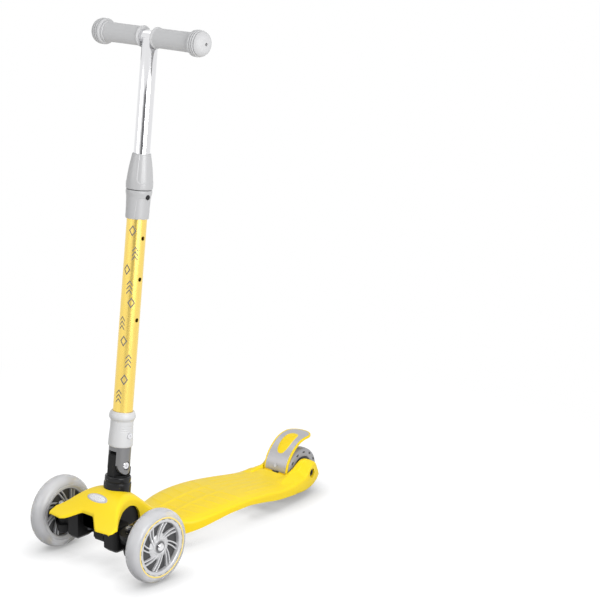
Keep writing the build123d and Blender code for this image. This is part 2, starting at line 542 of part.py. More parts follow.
def brake_outline(inset):
    """Plan of the brake: straight sides and a round rear end."""
    half_width = BRAKE_HALF - inset
    start = tail(-2.0 * REAR_R)
    shoulder = tail(0.35 * REAR_R)
    tip = tail(0.89 * REAR_R) - inset
    round_end = [(half_width, shoulder), (half_width * 0.72, tip - 6), (0, tip), (-half_width * 0.72, tip - 6),
                 (-half_width, shoulder)]
    edges = Curve() + [
        Line((-half_width, start), (half_width, start)),
        Line((half_width, start), (half_width, shoulder)),
        Spline(*round_end, tangents=[(0, 1), (0, -1)]),
        Line((-half_width, shoulder), (-half_width, start)),
    ]
    return Pos(0, FRONT_Y, 0) * extrude(make_face(edges), 140)


def pad_outline(grow):
    return Pos(0, back(tail(-0.24 * REAR_R)), 0) * extrude(Ellipse(12.0 + grow, 20.5 + grow), 140)


RIM = 3.0
plate_outline = brake_outline(RIM)
carrier = brake_layer(0, CARRIER_T, BRAKE_HALF) & brake_outline(0)
carrier -= brake_layer(-1, PLATE_T + SEAT, BRAKE_HALF) & brake_outline(RIM - SEAT)
barrel = Pos(0, BRAKE_Y, BRAKE_Z) * Rot(0, 90, 0) * pipe(4.6, BRAKE_PIN_R + RUNNING, 7.5, 25.5)
barrel += block(7.5, 25.5, BRAKE_Y + 0.6, BRAKE_Y + 4.4, BRAKE_Z + 3.0, BRAKE_Z + 0.17 * REAR_R)
barrel += block(7.5, 25.5, BRAKE_Y + 3.1, BRAKE_Y + 4.4, BRAKE_Z + 6.0, BRAKE_Z + 0.25 * REAR_R)
for piece in both_sides(barrel):
    carrier += piece
plate = brake_layer(0, PLATE_T, BRAKE_HALF) & plate_outline
plate -= pad_outline(SEAT)
pad = brake_layer(-1.2, PLATE_T, BRAKE_HALF) & pad_outline(0)
RIVET_FOOT = (0, back(tail(-1.085 * REAR_R)), 1.35 * REAR_R)
RIVET_AT = Plane(RIVET_FOOT, x_dir=(1, 0, 0), z_dir=(0, -0.976, 0.217))
rivet = RIVET_AT * (rod(2.0, -3.6, 1.0) + rod(3.2, 0.2, 1.2))
rivet_hole = RIVET_AT * rod(2.0 + SEAT, -12, 12)
carrier -= rivet_hole
parts["brake_carrier"] = carrier
parts["brake_plate"] = plate - rivet_hole
parts["brake_pad"] = pad
parts["brake_rivet"] = rivet - (brake_layer(0, PLATE_T, BRAKE_HALF) - rivet_hole)
parts["brake_pin"] = bar_x(BRAKE_PIN_R, -35.5, 35.5, BRAKE_Y, BRAKE_Z)
parts["brake_spring"] = Pos(0, BRAKE_Y, BRAKE_Z) * Rot(0, 90, 0) * coil(3.6, 1.1, -6, 6, 6)

os.makedirs("parts", exist_ok=True)
for name, solid in parts.items():
    export_step(solid, f"parts/{name}.step")
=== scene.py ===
import math

import bmesh
import bpy
import numpy as np
from mathutils import Matrix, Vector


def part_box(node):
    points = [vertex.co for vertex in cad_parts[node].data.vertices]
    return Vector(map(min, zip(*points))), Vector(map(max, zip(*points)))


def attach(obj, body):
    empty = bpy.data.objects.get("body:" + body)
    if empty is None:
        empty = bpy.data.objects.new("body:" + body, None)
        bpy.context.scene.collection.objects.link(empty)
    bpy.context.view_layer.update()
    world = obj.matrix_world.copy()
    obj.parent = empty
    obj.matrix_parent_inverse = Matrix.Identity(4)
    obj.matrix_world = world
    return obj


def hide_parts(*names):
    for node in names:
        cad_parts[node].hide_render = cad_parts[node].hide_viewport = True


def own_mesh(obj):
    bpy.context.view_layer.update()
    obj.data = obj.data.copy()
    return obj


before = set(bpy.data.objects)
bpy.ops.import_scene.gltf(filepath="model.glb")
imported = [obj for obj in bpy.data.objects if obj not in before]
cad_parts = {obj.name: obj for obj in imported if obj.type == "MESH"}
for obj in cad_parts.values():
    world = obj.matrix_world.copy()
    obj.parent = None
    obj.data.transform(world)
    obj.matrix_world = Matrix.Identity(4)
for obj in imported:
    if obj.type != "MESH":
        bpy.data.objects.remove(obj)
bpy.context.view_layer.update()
scene = bpy.context.scene
scene.view_settings.view_transform = "Standard"

# Camera of the photograph: a long lens from the front left of the rider, a little above the bar,
# turned about its own axis by a degree and a half.
camera_place = np.array([1.9580, -2.13225, 1.1782])
camera_target = np.array([0.15967, 0.06127, 0.41502])
camera_roll = math.radians(1.46)
look = (camera_target - camera_place) / np.linalg.norm(camera_target - camera_place)
level = np.cross(look, (0.0, 0.0, 1.0))
level /= np.linalg.norm(level)
upward = np.cross(level, look)
camera_right = math.cos(camera_roll) * level + math.sin(camera_roll) * upward
camera_up = math.cos(camera_roll) * upward - math.sin(camera_roll) * level
camera = bpy.data.objects.new("camera", bpy.data.cameras.new("camera"))
camera.data.lens = 109.23
camera.data.sensor_width = 36.0
scene.collection.objects.link(camera)
camera_frame = np.eye(4)
camera_frame[:3] = np.stack([camera_right, camera_up, -look, camera_place], 1)
camera.matrix_world = Matrix(camera_frame.tolist())
scene.camera = camera

# Studio: white sweep, a big soft lamp overhead, one at the camera's right and a weak one at its left. Metal
# sees the white room and a dark wall behind the camera, as in a real studio. The floor stays white where it
# is looked at, and a painted contact shadow darkens it close under the part.
LAMP_AIM = np.array([0.0, 0.0, 0.25])
LAMPS = (
    ("lamp_top", (-0.3, 0.1, 2.6), 2.4, 15.0),
    ("lamp_right", (2.3, -0.7, 1.1), 1.6, 56.0),
    ("lamp_left", (-0.9, -2.4, 1.3), 1.4, 11.0),
)
FLOOR_HALF = 6.0
FLOOR_LIFT = 0.86


def add_node(tree, kind, *inputs, **named):
    """Shader node of a kind: names in small letters set its own properties, places and other names its
    sockets, each with a value or with a link from another node's output."""
    node = tree.nodes.new("ShaderNode" + kind)
    for name in [name for name in named if name.islower()]:
        setattr(node, name, named.pop(name))
    for place, value in [*enumerate(inputs), *named.items()]:
        socket = node.inputs[place.replace("_", " ") if isinstance(place, str) else place]
        if isinstance(value, bpy.types.NodeSocket):
            tree.links.new(value, socket)
        else:
            socket.default_value = value
    return node


def seen_directly(tree):
    """One for rays of the camera, off gloss or through clear matter, zero for those that light things."""
    rays = add_node(tree, "LightPath").outputs
    seen = rays["Is Camera Ray"]
    for kind in ("Is Glossy Ray", "Is Transmission Ray"):
        seen = add_node(tree, "Math", seen, rays[kind], operation="MAXIMUM").outputs[0]
    return seen


def stage_sheet(name, corners):
    """Flat sheet of the studio between four corners, with a material that has no nodes yet."""
    mesh = bpy.data.meshes.new(name)
    mesh.from_pydata([tuple(corner) for corner in corners], [], [(0, 1, 2, 3)])
    paint = bpy.data.materials.new(name + "_paint")
    paint.use_nodes = True
    paint.node_tree.nodes.clear()
    mesh.materials.append(paint)
    sheet = bpy.data.objects.new(name, mesh)
    scene.collection.objects.link(sheet)
    return sheet, paint.node_tree


world = bpy.data.worlds.new("studio")
scene.world = world
world.use_nodes = True
room = world.node_tree
room.nodes.clear()
room_light = add_node(room, "Background", Color=(0.97, 0.985, 1.0, 1.0), Strength=0.52)
room_white = add_node(room, "Background", Color=(1.0, 1.0, 1.0, 1.0), Strength=1.0)
room_mix = add_node(room, "MixShader", seen_directly(room), room_light.outputs[0], room_white.outputs[0])
add_node(room, "OutputWorld", Surface=room_mix.outputs[0])

for lamp_name, lamp_place, lamp_size, lamp_power in LAMPS:
    lamp = bpy.data.objects.new(lamp_name, bpy.data.lights.new(lamp_name, "AREA"))
    lamp.data.size = lamp_size
    lamp.data.energy = lamp_power
    lamp.location = lamp_place
    aim = LAMP_AIM - np.array(lamp_place)
    lamp_tilt = math.acos(aim[2] / -np.linalg.norm(aim))
    lamp.rotation_euler = (lamp_tilt, 0.0, math.atan2(aim[1], aim[0]) - math.pi / 2)
    scene.collection.objects.link(lamp)

floor_corners = [(FLOOR_HALF * u, FLOOR_HALF * v, 0) for u, v in ((-1, -1), (1, -1), (1, 1), (-1, 1))]
floor, ground = stage_sheet("floor", floor_corners)
# Painted contact shadow: ambient occlusion darkens the floor's seen white close under the part, on top of the
# lamps' own shadows.
ground_close = add_node(ground, "AmbientOcclusion", samples=12, Distance=0.046)
ground_painted_shadow = add_node(ground, "MapRange", Value=ground_close.outputs["AO"], From_Min=0.3, To_Min=0.34)
ground_share = add_node(ground, "Math", seen_directly(ground), FLOOR_LIFT, operation="MULTIPLY")
ground_open = add_node(ground, "Math", ground_share.outputs[0], ground_painted_shadow.outputs[0], operation="MULTIPLY")
ground_lift = add_node(ground, "Emission", Strength=ground_open.outputs[0])
ground_matt = add_node(ground, "BsdfDiffuse", Color=(0.22, 0.22, 0.224, 1.0))
ground_near = add_node(ground, "AddShader", ground_matt.outputs[0], ground_lift.outputs[0])
ground_place = add_node(ground, "TexCoord").outputs["Object"]
ground_far = add_node(ground, "VectorMath", ground_place, operation="LENGTH")
ground_fade = add_node(ground, "MapRange", interpolation_type="SMOOTHSTEP", Value=ground_far.outputs["Value"],
                       From_Min=0.42, From_Max=1.0)
ground_white = add_node(ground, "Emission")
ground_mix = add_node(ground, "MixShader", ground_fade.outputs["Result"], ground_near.outputs[0],
                      ground_white.outputs[0])
add_node(ground, "OutputMaterial", Surface=ground_mix.outputs[0])

wall_middle = np.array([2.35, -2.75, 0.0])
wall_along = np.array([0.76, 0.65, 0.0])
wall_up = np.array([0.0, 0.0, 2.6])
wall_near, wall_far = wall_middle - 1.55 * wall_along, wall_middle + 2.9 * wall_along
wall, wall_tree = stage_sheet("dark_wall", [wall_near, wall_far, wall_far + wall_up, wall_near + wall_up])
wall_glow = add_node(wall_tree, "Emission", Color=(0.20, 0.20, 0.205, 1.0))
add_node(wall_tree, "OutputMaterial", Surface=wall_glow.outputs[0])
wall.visible_camera = False
wall.visible_diffuse = False
wall.visible_transmission = False
wall.visible_shadow = False

# Deck: one hollow yellow polypropylene moulding from the horned nose over the wheel arches and the
# neck to the standing surface. Fine grain all over, raised grip bars on top, an open ribbed underside.
AXLE_LINE = -216.75
DECK_END = 408.0
WALL = 4.5
SKIN = 5.0
HORN_LINE = -46.5
HORN_HALF = 70.4
HORN_SIDE = -62.5
NOSE_LOW = -69.0
NOSE_ROWS = -38.0
FLAT_COLUMNS, CORNER_COLUMNS, WALL_COLUMNS = 46, 7, 5
BAR_STATIONS = (150, 174, 198, 222, 246)
FLUTES = (-0.84, -0.56, -0.28, 0, 0.28, 0.56, 0.84)
RIB_HALF = 1.5
RIB_LIFT = 1.0
top_line = np.array([(-70, 86), (-44, 99.5), (-22, 116), (2, 124.5), (24, 122), (46, 108.8), (80, 80),
                     (104, 62.5), (128, 53), (160, 54), (210, 57.5), (265, 55.5), (335, 47), (392, 43),
                     (408, 45)], float)
low_line = np.array([(-70, 83.2), (-50, 86.2), (-31, 90.2), (-5, 100), (14, 101.5), (30, 97), (40, 84),
                     (45, 60), (60, 34), (82, 25), (112, 25), (150, 30.5), (188, 37), (222, 40), (262, 39),
                     (302, 33), (355, 22.7), (408, 17)], float)
side_line = np.array([(-46.5, 70.2), (-31, 57), (-9, 43.5), (18, 34.5), (46, 32.4), (82, 35), (106, 43),
                      (134, 57.5), (164, 66.5), (214, 70.8), (320, 64.5), (418, 55.5), (478, 44),
                      (486, 42)], float)
crown_line = np.array([(-70, 2.2), (-45, 4.8), (-20, 6.5), (10, 6.0), (46, 8.5), (80, 8.0), (104, 6.0),
                       (128, 5.5), (160, 6.8), (300, 6.8), (360, 7.2), (408, 8.5)], float)
crown_power = np.array([(-70, 2.2), (20, 2.2), (46, 2.8), (90, 3.0), (128, 4.0), (170, 4.5), (350, 4.2),
                        (408, 3.0)], float)
edge_line = np.array([(-70, 4), (-45, 8), (-10, 11), (30, 11), (60, 11), (100, 10), (135, 8),
                      (408, 7.5)], float)


def smooth_through(line, at):
    """Natural cubic through (station, value) points: one linear solve gives the second derivatives."""
    x, v = line[:, 0], line[:, 1]
    h = np.diff(x)
    inner = np.arange(1, len(x) - 1)
    system = np.eye(len(x))
    system[inner, inner - 1] = h[inner - 1]
    system[inner, inner] = 2 * (h[inner - 1] + h[inner])
    system[inner, inner + 1] = h[inner]
    bend = np.zeros(len(x))
    bend[inner] = 6 * (np.diff(v)[inner] / h[inner] - np.diff(v)[inner - 1] / h[inner - 1])
    m = np.linalg.solve(system, bend)
    k = np.clip(np.searchsorted(x, at) - 1, 0, len(x) - 2)
    a, b = x[k + 1] - at, at - x[k]
    return ((m[k] * a**3 + m[k + 1] * b**3) / (6 * h[k])
            + (v[k] / h[k] - m[k] * h[k] / 6) * a + (v[k + 1] / h[k] - m[k + 1] * h[k] / 6) * b)


def steady_through(line, at):
    """Cubic pieces through (station, value) points that never overshoot: harmonic mean slopes."""
    x, v = line[:, 0], line[:, 1]
    h, rise = np.diff(x), np.diff(v)
    s = rise / h
    inside = np.where(s[1:] * s[:-1] > 0, 2 * s[1:] * s[:-1] / (s[1:] + s[:-1] + 1e-12), 0)
    slope = np.concatenate([s[:1], inside, s[-1:]])
    k = np.clip(np.searchsorted(x, at) - 1, 0, len(x) - 2)
    t = (at - x[k]) / h[k]
    bow = slope[k] * (1 - t) - slope[k + 1] * t
    return v[k] + rise[k] * t * t * (3 - 2 * t) + h[k] * t * (1 - t) * bow


def plateau(distance, half, soft):
    """One inside half of the middle line, zero outside, with a smooth ramp of width soft."""
    s = np.clip((half + soft / 2 - np.abs(distance)) / soft, 0, 1)
    return s * s * (3 - 2 * s)


def grip_relief(x, y):
    """Raised bars of the standing surface: two rails with cross bars in front, long flutes at the back."""
    half = smooth_through(side_line, y)
    side = np.abs(x)
    panel = plateau(x, half - 9, 2.6) * plateau(y - 258, 126, 4)
    rails = plateau(side - 16.5, 3.2, 1.8) * plateau(y - 198, 62, 4)
    cross = sum(plateau(y - at, 2.4, 1.8) for at in BAR_STATIONS) * plateau(x, 12, 1.6)
    lean = sum(plateau(y - at - 0.22 * (side - 20), 2.4, 1.8) for at in BAR_STATIONS)
    lean = lean * plateau(side - (half + 8) / 2, (half - 32) / 2, 2)
    spread = x / np.maximum(half - 12, 1)
    flutes = sum(plateau((spread - at) * 50, 1.7, 1.8) for at in FLUTES)
    flutes = flutes * plateau(y - 322, 54 - 16 * np.abs(spread), 6)
    bars = np.maximum.reduce([rails, cross, lean, flutes])
    return 0.55 * panel + 0.75 * bars


def half_width(y):
    """Half width of the deck at a station: constant across the horns of the nose, then the side line."""
    return np.where(y < HORN_LINE, HORN_HALF, smooth_through(side_line, np.maximum(y, HORN_LINE)))


def deck_low(y):
    """Lower edge of the deck's side at a station: the low line, held level ahead of the nose."""
    return steady_through(low_line, np.maximum(y, NOSE_LOW))


def deck_height(x, y):
    """Top of the deck: centre line less a crown that grows with a power of the share of the half width."""
    crown = smooth_through(crown_line, y)
    return smooth_through(top_line, y) - crown * (np.abs(x) / half_width(y)) ** np.interp(y, *crown_power.T)


def front_edge(x):
    """Front outline of the nose seen from above: a notch between two horns, its corners eased."""
    shifts = np.linspace(-3, 3, 7).reshape(-1, *([1] * np.ndim(x)))
    return np.interp(np.abs(x + shifts), (0, 12.8, 39.5, 70.5), (-43.6, -43.6, -66.2, HORN_SIDE)).mean(0)


def grid_faces(grid, ring=False, ends=False):
    """Points and faces of a grid: ring joins its last column to the first, ends closes its outer rows."""
    rows, cols = grid.shape[:2]
    i = np.arange(rows - 1)[:, None]
    j = np.arange(cols if ring else cols - 1)[None, :]
    a, b = i * cols + j, i * cols + (j + 1) % cols
    faces = np.stack([a, b, b + cols, a + cols], -1).reshape(-1, 4).tolist()
    if ends:
        faces += [list(range(cols)), list(range((rows - 1) * cols, rows * cols))]
    return grid.reshape(-1, 3), faces


def make_piece(name, blocks, paint, body, nodes=(), crease=38):
    """Mesh of blocks of points (millimetres) and faces: doubles merged, normals outwards, on its body."""
    points, faces, start = [], [], 0
    for block_points, block_faces in blocks:
        points.append(block_points)
        faces += [[corner + start for corner in face] for face in block_faces]
        start += len(block_points)
    mesh = bpy.data.meshes.new(name)
    mesh.from_pydata((np.concatenate(points) * 0.001).tolist(), [], faces)
    shell = bmesh.new()
    shell.from_mesh(mesh)
    bmesh.ops.remove_doubles(shell, verts=shell.verts, dist=2e-6)
    bmesh.ops.dissolve_degenerate(shell, edges=shell.edges, dist=1e-7)
    bmesh.ops.recalc_face_normals(shell, faces=shell.faces)
    shell.to_mesh(mesh)
    shell.free()
    mesh.shade_smooth()
    mesh.set_sharp_from_angle(angle=math.radians(crease))
    mesh.materials.append(paint)
    made = bpy.data.objects.new(name, mesh)
    scene.collection.objects.link(made)
    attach(made, body)
    if nodes:
        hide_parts(*nodes)
    return made


surface_grain = bpy.data.node_groups.new("surface_grain", "ShaderNodeTree")
for socket_name, way, kind in (("Size", "INPUT", "Float"), ("Patch", "INPUT", "Float"),
                               ("Stretch", "INPUT", "Vector"), ("Grain", "OUTPUT", "Float"),
                               ("Tone", "OUTPUT", "Float")):
    surface_grain.interface.new_socket(socket_name, in_out=way, socket_type="NodeSocket" + kind)
grain_in = surface_grain.nodes.new("NodeGroupInput").outputs
grain_out = surface_grain.nodes.new("NodeGroupOutput").inputs
grain_place = add_node(surface_grain, "TexCoord").outputs["Object"]
grain_drawn = add_node(surface_grain, "VectorMath", grain_place, grain_in["Stretch"], operation="MULTIPLY")
grain_at = grain_drawn.outputs["Vector"]
grain_fine = add_node(surface_grain, "TexNoise", Vector=grain_at, Scale=grain_in["Size"], Detail=2.0)
grain_slow = add_node(surface_grain, "TexNoise", Vector=grain_at, Scale=grain_in["Patch"], Detail=3.0)
surface_grain.links.new(grain_fine.outputs["Fac"], grain_out["Grain"])
surface_grain.links.new(grain_slow.outputs["Fac"], grain_out["Tone"])


def finish(name, colour, shade, rough, size=900.0, patch=14.0, depth=0.05, metal=0.0, stretch=(1, 1, 1),
           **sockets):
    """Principled surface: the grain group's tone wavers its colour to shade, its grain the gloss and bump."""
    paint = bpy.data.materials.new(name)
    paint.use_nodes = True
    tree = paint.node_tree
    shader = tree.nodes["Principled BSDF"].inputs
    grain = add_node(tree, "Group", node_tree=surface_grain, Size=size, Patch=patch, Stretch=stretch).outputs
    tint = add_node(tree, "Mix", data_type="RGBA", Factor=grain["Tone"], A=(*colour, 1.0), B=(*shade, 1.0))
    gloss = add_node(tree, "MapRange", Value=grain["Grain"], To_Min=rough * 0.85, To_Max=rough * 1.15)
    bump = add_node(tree, "Bump", Strength=depth, Distance=0.0006, Height=grain["Grain"])
    tree.links.new(tint.outputs["Result"], shader["Base Color"])
    tree.links.new(gloss.outputs["Result"], shader["Roughness"])
    tree.links.new(bump.outputs["Normal"], shader["Normal"])
    shader["Metallic"].default_value = metal
    for socket, value in sockets.items():
        shader[socket.replace("_", " ").title().replace("Ior", "IOR")].default_value = value
    return paint


yellow_plastic = finish("yellow_plastic", (0.92, 0.68, 0.012), (0.89, 0.64, 0.010), 0.44, size=1500,
                        depth=0.22, specular_ior_level=0.32)

share = np.concatenate([np.linspace(0, 1, FLAT_COLUMNS), np.ones(CORNER_COLUMNS + WALL_COLUMNS)])
turn = np.concatenate([np.zeros(FLAT_COLUMNS), np.linspace(0, 1, CORNER_COLUMNS + 1)[1:],
                       np.ones(WALL_COLUMNS)])
drop = np.concatenate([np.zeros(FLAT_COLUMNS + CORNER_COLUMNS), np.linspace(0, 1, WALL_COLUMNS + 1)[1:]])
share = np.concatenate([-share[:0:-1], share])[None]
turn = np.concatenate([turn[:0:-1], turn])[None]
drop = np.concatenate([drop[:0:-1], drop])[None]
hand = np.where(share < 0, -1.0, 1.0)
nose_t = (np.linspace(0, 1, 27)[:-1] ** 1.4)[:, None]
stations = np.concatenate([np.arange(-38, 28, 2.2), np.arange(28, 62, 0.9), np.arange(62, 128, 2.3),
                           np.arange(128, 392, 1.25), np.linspace(392, DECK_END, 13)])[:, None]
nose_side = HORN_SIDE * (1 - nose_t) + NOSE_ROWS * nose_t
row_y = np.concatenate([nose_side, stations])
row_half = half_width(row_y) - 3.0 * np.clip(1 - (row_y - HORN_SIDE) / 6, 0, 1) ** 2


def deck_skin(half, radius, lower, lowest):
    """Section swept along the stations: crowned top, arc from the crown's slope to upright, side wall."""
    slope = np.arctan(np.interp(row_y, *crown_power.T) * smooth_through(crown_line, row_y) / row_half)
    start = half - radius * (1 - np.sin(slope))
    angle = slope + turn * (np.pi / 2 - slope)
    x = np.abs(share) * start + radius * (np.sin(angle) - np.sin(slope)) * (turn > 0)
    x = x * hand
    ahead = np.concatenate([nose_t, np.ones((len(stations), 1))])
    y = np.where(ahead < 1, front_edge(x) * (1 - ahead) + NOSE_ROWS * ahead, row_y)
    top = deck_height(np.clip(x, -start, start), y) - lower
    corner = top - radius * (np.cos(slope) - np.cos(angle)) * (turn > 0)
    bottom = deck_low(y)
    z = corner + drop * (bottom - corner)
    return x, y, np.maximum(z, bottom) if lowest else z


wall_room = deck_height(row_half - 4, np.maximum(row_y, -62)) - deck_low(row_y)
edge_round = np.minimum(smooth_through(edge_line, row_y), 0.72 * np.maximum(wall_room, 2.0))
out_x, out_y, out_z = deck_skin(row_half, edge_round, 0.0, False)
out_z = out_z + grip_relief(out_x, out_y) * (turn == 0)
lip = np.clip(1 - (out_y - front_edge(out_x)) / 3.0, 0, 1)
out_z = out_z - 2.0 * (1 - np.sqrt(1 - lip**2)) * (drop < 0.5)
in_x, in_y, in_z = deck_skin(row_half - WALL, np.maximum(edge_round - WALL, 0.8), SKIN, True)
loop = np.concatenate([np.stack([out_x, out_y + AXLE_LINE, out_z], -1),
                       np.stack([in_x, in_y + AXLE_LINE, in_z], -1)[:, ::-1]], 1)
shell_points, shell_faces = grid_faces(loop, ring=True)
columns = loop.shape[1]
j = np.arange(columns // 2 - 1)
strip = np.stack([j, j + 1, columns - 2 - j, columns - 1 - j], -1)
shell_faces += strip.tolist() + (strip + (loop.shape[0] - 1) * columns).tolist()
make_piece("deck_moulding", [(shell_points, shell_faces)], yellow_plastic, "deck", ["deck"],
           42)


def deck_rib(x, y, thick):
    """Upright rib over a line of places, from the deck's lower edge into its skin, thickened both ways."""
    low = np.stack([x, y + AXLE_LINE, deck_low(y) + RIB_LIFT], -1)
    high = np.stack([x, y + AXLE_LINE, deck_height(x, y) - SKIN / 2], -1)
    edges = [low - thick, low + thick, high + thick, high - thick]
    return grid_faces(np.stack(edges, 1), ring=True, ends=True)


rib_blocks = []
for rib_y in np.arange(112.0, 380.0, 44.0):
    rib_half = float(half_width(rib_y)) - WALL / 2
    rib_x = np.linspace(-rib_half, rib_half, 41)
    rib_blocks.append(deck_rib(rib_x, np.full(41, rib_y), np.array([0, RIB_HALF, 0])))
for rib_x, rib_start in ((0.0, 60.0), (-30.0, 112.0), (30.0, 112.0)):
    rib_y = np.linspace(rib_start, 396.0, 121)
    rib_blocks.append(deck_rib(np.full(121, rib_x), rib_y, np.array([RIB_HALF, 0, 0])))
make_piece("deck_ribs", rib_blocks, yellow_plastic, "deck", ["deck"])

# Rear arms: the two ends of the same yellow moulding, humped over the rear axle that they carry and drawn to
# a point behind it. A round recess in each takes the head or the nut of the axle.
REAR_AXLE = np.array([0.0, 460.0 + AXLE_LINE, 40.0])
AXLE_HOLE = 8.2
ARM_START = 378
ARM_LENGTH = 110.9
ARM_INSIDE = 28.5
HUMP_START, HUMP_RUN = 436, 24
arm_top = np.array([(376, 40), (384, 43), (404, 45.5), (412, 47), (420, 49.5), (430, 54), (440, 60),
                    (450, 64), (459, 63.5), (468, 59.5), (475, 53), (482, 41.5), (488.6, 30.6),
                    (489, 29.6)], float)
arm_low = np.array([(376, 19), (384, 18.5), (404, 17), (440, 14), (461, 15.8), (476, 20.5), (488, 28),
                    (489, 29.2)], float)
arm_t = np.linspace(0, 1, 96)
arm_y = ARM_START + ARM_LENGTH * (1 - (1 - arm_t) ** 1.6)
arm_in = ARM_INSIDE + np.clip((arm_y - 470) * 0.42, 0, None)
arm_out = smooth_through(side_line, arm_y) - 0.012 * np.clip(404 - arm_y, 0, None)
arm_out = arm_out + 0.35 * np.clip((arm_y - 390) / 8, 0, 1)
arm_out = arm_out - 1.2 * np.clip((arm_y - 478) / 11, 0, 1) ** 2
arm_high, arm_deep = steady_through(arm_top, arm_y), steady_through(arm_low, arm_y)

arm_turn = np.linspace(0, 1, 41)[None]
corner = (1 - np.minimum(arm_turn, 1 - arm_turn) * 14).clip(0)
ease = 3.0 * (1 - np.sqrt(np.clip(1 - corner ** 2, 0, 1)))
over_x = arm_in[:, None] + (arm_out - arm_in)[:, None] * arm_turn
hump = np.clip((arm_y - HUMP_START) / HUMP_RUN, 0, 1)[:, None]
rise = 17.0 * hump ** 2 * (3 - 2 * hump)
flank = 47 - 0.55 * (over_x - 34) + rise + 22 * np.clip((34 - over_x) / 4, 0, 1)
over_z = np.minimum(arm_high[:, None], flank) - ease
under_z = arm_deep[:, None] + ease[:, ::-1]
arm_x = np.concatenate([over_x, over_x[:, ::-1]], 1)
arm_z = np.concatenate([over_z, np.minimum(under_z, over_z[:, ::-1] - 0.5)], 1)
arm_grid = np.stack([arm_x, np.broadcast_to(arm_y[:, None] + AXLE_LINE, arm_x.shape), arm_z], -1)
mirrored = arm_grid * np.array([-1.0, 1.0, 1.0])
arms = make_piece("deck_arms", [grid_faces(arm_grid, True, True), grid_faces(mirrored, True, True)],
                  yellow_plastic, "deck", ["deck"], 50)


def lathe(outline, turns=96):
    """Closed outline of (radius, distance) points carried once round the axis, as (side, side, along)."""
    turn = np.linspace(0, 2 * np.pi, turns + 1)[:, None]
    radius, along = outline[:, 0][None], outline[:, 1][None]
    return np.stack([radius * np.cos(turn), radius * np.sin(turn), along + 0 * turn], -1)


def on_axle(grid, place, side):
    """Lays (up, back, along) of a wheel on its axle; along points outwards, so both sides are mirrored."""
    return np.stack([grid[..., 2], grid[..., 1], grid[..., 0] / side], -1) * side + np.array(place)


hole_outline = np.array([(0, 40), (AXLE_HOLE, 40), (AXLE_HOLE, 62), (0, 62)], float)
cutter = make_piece("axle_hole", [grid_faces(on_axle(lathe(hole_outline, 48), REAR_AXLE, side), ring=True)
                                  for side in (1, -1)], yellow_plastic, "deck")
cut = arms.modifiers.new("axle_recess", "BOOLEAN")
cut.operation = "DIFFERENCE"
cut.object = cutter
cut.solver = "EXACT"
bpy.context.view_layer.update()
recessed = bpy.data.meshes.new_from_object(arms.evaluated_get(bpy.context.evaluated_depsgraph_get()))
arms.modifiers.clear()
arms.data = recessed
arms.data.set_sharp_from_angle(angle=math.radians(50))
bpy.data.objects.remove(cutter)

# Nose badge: a thin oval plate of silvery plastic in a grey rim, pressed into the crown of the nose.
# Both follow the crowned top, so the rim stands one millimetre proud all round.
BADGE_AT = -21.5
BADGE_HALF = (21.5, 6.5)
badge_turn = np.linspace(0, 2 * np.pi, 97)[None]


def badge_rows(rows):
    """Rows of an oval at shares of its half axes, each lifted above the crowned deck by its own height."""
    reach, lift = np.array(rows, float).T[:, :, None]
    x = BADGE_HALF[0] * reach * np.cos(badge_turn)
    y = BADGE_AT + BADGE_HALF[1] * reach * np.sin(badge_turn)
    return np.stack([x, y + AXLE_LINE, deck_height(x, y) + lift], -1)


badge_grey = finish("badge_grey", (0.50, 0.49, 0.53), (0.44, 0.43, 0.47), 0.32, metal=0.4)
badge_silver = finish("badge_silver", (0.74, 0.74, 0.75), (0.66, 0.66, 0.68), 0.28, metal=0.35, patch=60)
badge_rim = badge_rows([(0.80, 0.30), (0.82, 0.75), (0.87, 1.0), (0.94, 1.0), (0.985, 0.75), (1.0, 0.3),
                        (1.0, -0.7), (0.80, -0.7), (0.80, 0.30)])
badge_face = badge_rows([(0, 0.75), (0.2, 0.74), (0.4, 0.70), (0.6, 0.62), (0.75, 0.5), (0.81, 0.42),
                         (0.81, -0.5), (0, -0.5)])
make_piece("nose_badge_rim", [grid_faces(badge_rim)], badge_grey, "deck", ["nose_badge"])
make_piece("nose_badge_face", [grid_faces(badge_face)], badge_silver, "deck", ["nose_badge"])

# Steering beam: black glass-filled nylon under the nose, with a box and a kingpin eye at each side. A black
# block of the same moulding stands up into the nose round the stem socket: partly the beam, partly painted
# shade that fills the nose's cavity with black where its yellow inside lies in shade. Four screws from below
# hold it, and a housing under the nose keeps the two coil springs that bring the wheels straight.
SIDES = (("left", 1), ("right", -1))
black_plastic = finish("black_plastic", (0.006, 0.006, 0.0065), (0.009, 0.009, 0.0095), 0.5, size=2200,
                       depth=0.12, specular_ior_level=0.2)
dark_steel = finish("dark_steel", (0.07, 0.07, 0.075), (0.05, 0.05, 0.055), 0.36, metal=0.8)
bright_steel = finish("bright_steel", (0.62, 0.62, 0.63), (0.52, 0.52, 0.53), 0.24, metal=1.0)


